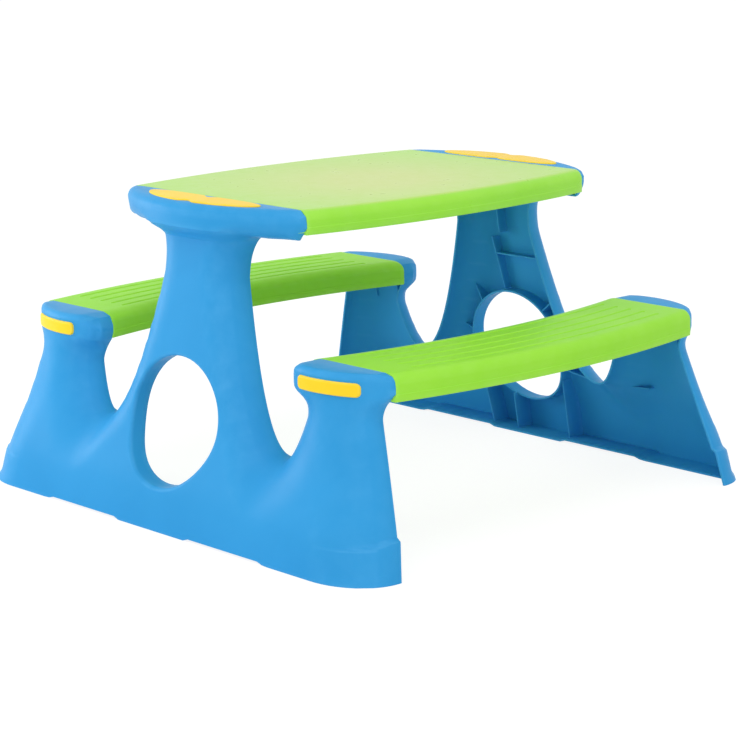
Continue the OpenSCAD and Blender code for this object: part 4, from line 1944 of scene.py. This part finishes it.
@dataclass(frozen=True)
class MouldedPlastic:
    """A semi-gloss moulded plastic."""

    name: str
    slot: str
    colour: Colour
    drift: Colour
    rubbed: Colour
    roughness: float = 0.38
    grain: float = 0.10
    wear: float = 0.35
    specular: float = 0.05
    # colour of a painted reflection that pales the top face, or None for none
    pale: Colour | None = None

    def build(self, effects: Effects) -> bpy.types.Material:
        """Makes the material from the shared effects.

        Args:
            effects: the shader node groups.

        Returns:
            The material.
        """
        look = bpy.data.materials.new(self.name)
        look.use_nodes = True
        tree = look.node_tree
        links = tree.links
        shader = next(n for n in tree.nodes if n.type == "BSDF_PRINCIPLED")
        shader.inputs["IOR"].default_value = 1.5
        shader.inputs["Specular IOR Level"].default_value = self.specular
        place = add(tree, "TexCoord").outputs["Object"]
        edge = add(tree, "Attribute", attribute_name=WEAR).outputs["Fac"]
        drift = add(
            tree,
            "Group",
            node_tree=effects.drift,
            Vector=place,
            Color=(*self.colour, 1.0),
            Drift_Color=(*self.drift, 1.0),
        )
        colour = drift.outputs["Color"]
        # painted reflection: the top face is mixed towards the pale colour, standing in for light
        # glaring on it
        if self.pale:
            painted_reflection = add(tree, "Group", node_tree=effects.painted_reflection, Vector=place, Color=colour)
            painted_reflection.inputs["Pale Color"].default_value = (*self.pale, 1.0)
            colour = painted_reflection.outputs["Color"]
        wear = add(
            tree,
            "Group",
            node_tree=effects.wear,
            Vector=place,
            Color=colour,
            Rubbed_Color=(*self.rubbed, 1.0),
            Edge=edge,
            Amount=self.wear,
            Roughness=self.roughness,
        )
        grain = add(tree, "Group", node_tree=effects.grain, Vector=place).outputs["Height"]
        bump = add(tree, "Bump", Strength=self.grain, Distance=0.0004, Height=grain)
        links.new(wear.outputs["Color"], shader.inputs["Base Color"])
        links.new(wear.outputs["Roughness"], shader.inputs["Roughness"])
        links.new(bump.outputs["Normal"], shader.inputs["Normal"])
        return look


BLUE = MouldedPlastic(
    "blue_moulded_plastic",
    "blue_plastic",
    colour=(0.036, 0.330, 0.695),
    drift=(0.031, 0.308, 0.658),
    rubbed=(0.110, 0.450, 0.820),
)
GREEN = MouldedPlastic(
    "lime_moulded_plastic",
    "green_plastic",
    colour=(0.335, 0.775, 0.051),
    drift=(0.300, 0.735, 0.045),
    rubbed=(0.480, 0.850, 0.190),
)
# the lime of the tabletop, with a painted reflection that pales its top face
REFLECTION_PAINTED_GREEN = replace(
    GREEN,
    name="lime_painted_reflection_top_plastic",
    roughness=0.30,
    specular=0.20,
    grain=0.04,
    pale=(0.560, 0.690, 0.180),
)
YELLOW = MouldedPlastic(
    "yellow_moulded_plastic",
    "yellow_plastic",
    colour=(1.0, 0.693, 0.030),
    drift=(0.960, 0.640, 0.026),
    rubbed=(1.0, 0.780, 0.200),
    roughness=0.30,
)


@dataclass(frozen=True)
class Lamp:
    """A round soft lamp that shines at the table."""

    name: str
    place: Triple
    size: float
    power: float

    def build(self, target: Triple) -> None:
        """Adds the lamp and turns it to a target.

        Args:
            target: the place that it shines at.
        """
        bpy.ops.object.light_add(type="AREA", location=self.place)
        lamp = bpy.context.object
        lamp.name = self.name
        lamp.data.shape = "DISK"
        lamp.data.size = self.size
        lamp.data.energy = self.power
        lamp.visible_camera = False
        aim = type(lamp.location)(target) - lamp.location
        lamp.rotation_euler = aim.to_track_quat("-Z", "Y").to_euler()


LAMPS = (
    Lamp("key", (-1.6, -1.2, 3.4), size=2.6, power=34.0),
    Lamp("fill", (-3.7, -1.9, 0.5), size=1.0, power=9.0),
    Lamp("side", (-0.9, 1.6, 0.55), size=1.0, power=10.0),
)


@dataclass
class Studio:
    """Pale floor, soft light and the camera at the photograph's place."""

    place: Triple = (-2.47739, -2.66108, 0.97658)
    yaw: float = 46.907
    pitch: float = 12.422
    roll: float = -0.681
    focal_pixels: float = 2352.87
    image_width: float = 736.0
    sensor: float = 36.0
    lamp_target: Triple = (0.0, 0.0, 0.25)
    world_light: float = 0.80
    floor_radius: float = 14.0
    floor_level: float = -0.0004
    floor_bounce: float = 0.95
    floor_shadow: float = 0.20  # how much of the light on it the floor shows
    floor_glow: float = 0.88

    def build(self) -> None:
        """Sets up everything round the table."""
        self.camera()
        self.world()
        self.floor()
        for lamp in LAMPS:
            lamp.build(self.lamp_target)
        bpy.context.scene.view_settings.view_transform = "Standard"

    def camera(self) -> None:
        """Adds the camera."""
        bpy.ops.object.camera_add(location=self.place)
        camera = bpy.context.object
        camera.name = "camera"
        camera.data.sensor_width = self.sensor
        camera.data.lens = self.focal_pixels / self.image_width * self.sensor
        camera.data.clip_start, camera.data.clip_end = 0.05, 60.0
        turn = [math.radians(angle) for angle in (90 - self.pitch, 0.0, self.yaw - 90)]
        camera.rotation_euler = turn
        camera.rotation_euler.rotate_axis("Z", math.radians(self.roll))
        bpy.context.scene.camera = camera

    def seen(self, tree: bpy.types.NodeTree) -> bpy.types.NodeSocket:
        """1 for what the camera sees, also in a reflection or through a surface, else 0.

        Args:
            tree: the tree that the nodes go to.

        Returns:
            The output of the last node.
        """
        rays = add(tree, "LightPath").outputs
        direct = add(
            tree, "Math", rays["Is Camera Ray"], rays["Is Glossy Ray"], operation="MAXIMUM"
        )
        through = rays["Is Transmission Ray"]
        return add(tree, "Math", direct.outputs[0], through, operation="MAXIMUM").outputs[0]

    def world(self) -> None:
        """White all round to the camera and in reflections, a plain level for the light."""
        world = bpy.data.worlds.new("studio")
        bpy.context.scene.world = world
        world.use_nodes = True
        tree = world.node_tree
        shade = next(n for n in tree.nodes if n.type == "BACKGROUND")
        shade.inputs["Color"].default_value = (1.0, 1.0, 1.0, 1.0)
        level = remap(tree, self.seen(tree), (0.0, 1.0), (self.world_light, 1.0))
        tree.links.new(level, shade.inputs["Strength"])

    def floor(self) -> None:
        """A wide pale floor that shows the table's shadow faintly and is clear from below."""
        bpy.ops.object.select_all(action="DESELECT")
        bpy.ops.mesh.primitive_circle_add(
            vertices=96,
            radius=self.floor_radius,
            fill_type="NGON",
            location=(0, 0, self.floor_level),
        )
        floor = bpy.context.object
        floor.name = "floor"
        look = bpy.data.materials.new("pale_floor")
        look.use_nodes = True
        tree = look.node_tree
        tree.nodes.clear()
        matte, shadow = (
            add(tree, "BsdfDiffuse", Color=(level, level, level, 1.0)).outputs[0]
            for level in (self.floor_bounce, self.floor_shadow)
        )
        glow = add(tree, "Emission", Color=(1.0, 1.0, 1.0, 1.0), Strength=self.floor_glow)
        white = add(tree, "AddShader", shadow, glow.outputs[0]).outputs[0]
        above = add(tree, "MixShader", self.seen(tree), matte, white).outputs[0]
        below = add(tree, "NewGeometry").outputs["Backfacing"]
        clear = add(tree, "BsdfTransparent").outputs[0]
        both = add(tree, "MixShader", below, above, clear).outputs[0]
        add(tree, "OutputMaterial", Surface=both)
        floor.data.materials.append(look)
        floor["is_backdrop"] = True


def corners() -> list[list[float]]:
    """The lowest and highest corner of what is shown, as plain lists."""
    return [list(map(float, corner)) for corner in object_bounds()]


def main() -> None:
    """Builds the table piece by piece, then the studio."""
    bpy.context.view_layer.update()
    effects = Effects()
    # pale is the lime with a painted reflection on the tabletop's top face
    blue, green, pale, yellow = (look.build(effects) for look in (BLUE, GREEN, REFLECTION_PAINTED_GREEN, YELLOW))

    body = EndFrame()
    right = body.build()
    right.name = "right_frame"
    left = turned_copy(right, "left_frame")
    finish(right, blue, "right_end_frame", BLUE.slot)
    finish(left, blue, "left_end_frame", BLUE.slot)

    top = Tabletop(head=body).build()
    top.name = "table_board"
    finish(top, pale, "tabletop", GREEN.slot)

    rear = Bench(head=body).build()
    rear.name = "rear_seat"
    front = turned_copy(rear, "front_seat")
    finish(rear, green, "rear_bench", GREEN.slot)
    finish(front, green, "front_bench", GREEN.slot)

    cap = TableCap().build()
    cap.name = "right_table_plug"
    finish(turned_copy(cap, "left_table_plug"), yellow, "left_table_cap", YELLOW.slot)
    finish(cap, yellow, "right_table_cap", YELLOW.slot)

    bar = SeatCap(body=body).build()
    bar.name = "rear_right_plug"
    copies = (
        (turned_copy(bar, "front_left_plug"), "front_left_seat_cap"),
        (mirrored_copy(bar, "rear_left_plug", Axis.X), "rear_left_seat_cap"),
        (mirrored_copy(bar, "front_right_plug", Axis.Y), "front_right_seat_cap"),
        (bar, "rear_right_seat_cap"),
    )
    for copy, node in copies:
        finish(copy, yellow, node, YELLOW.slot)

    Studio().build()
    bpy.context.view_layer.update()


if __name__ == "__main__":
    logging.basicConfig(level=logging.INFO)
    main()
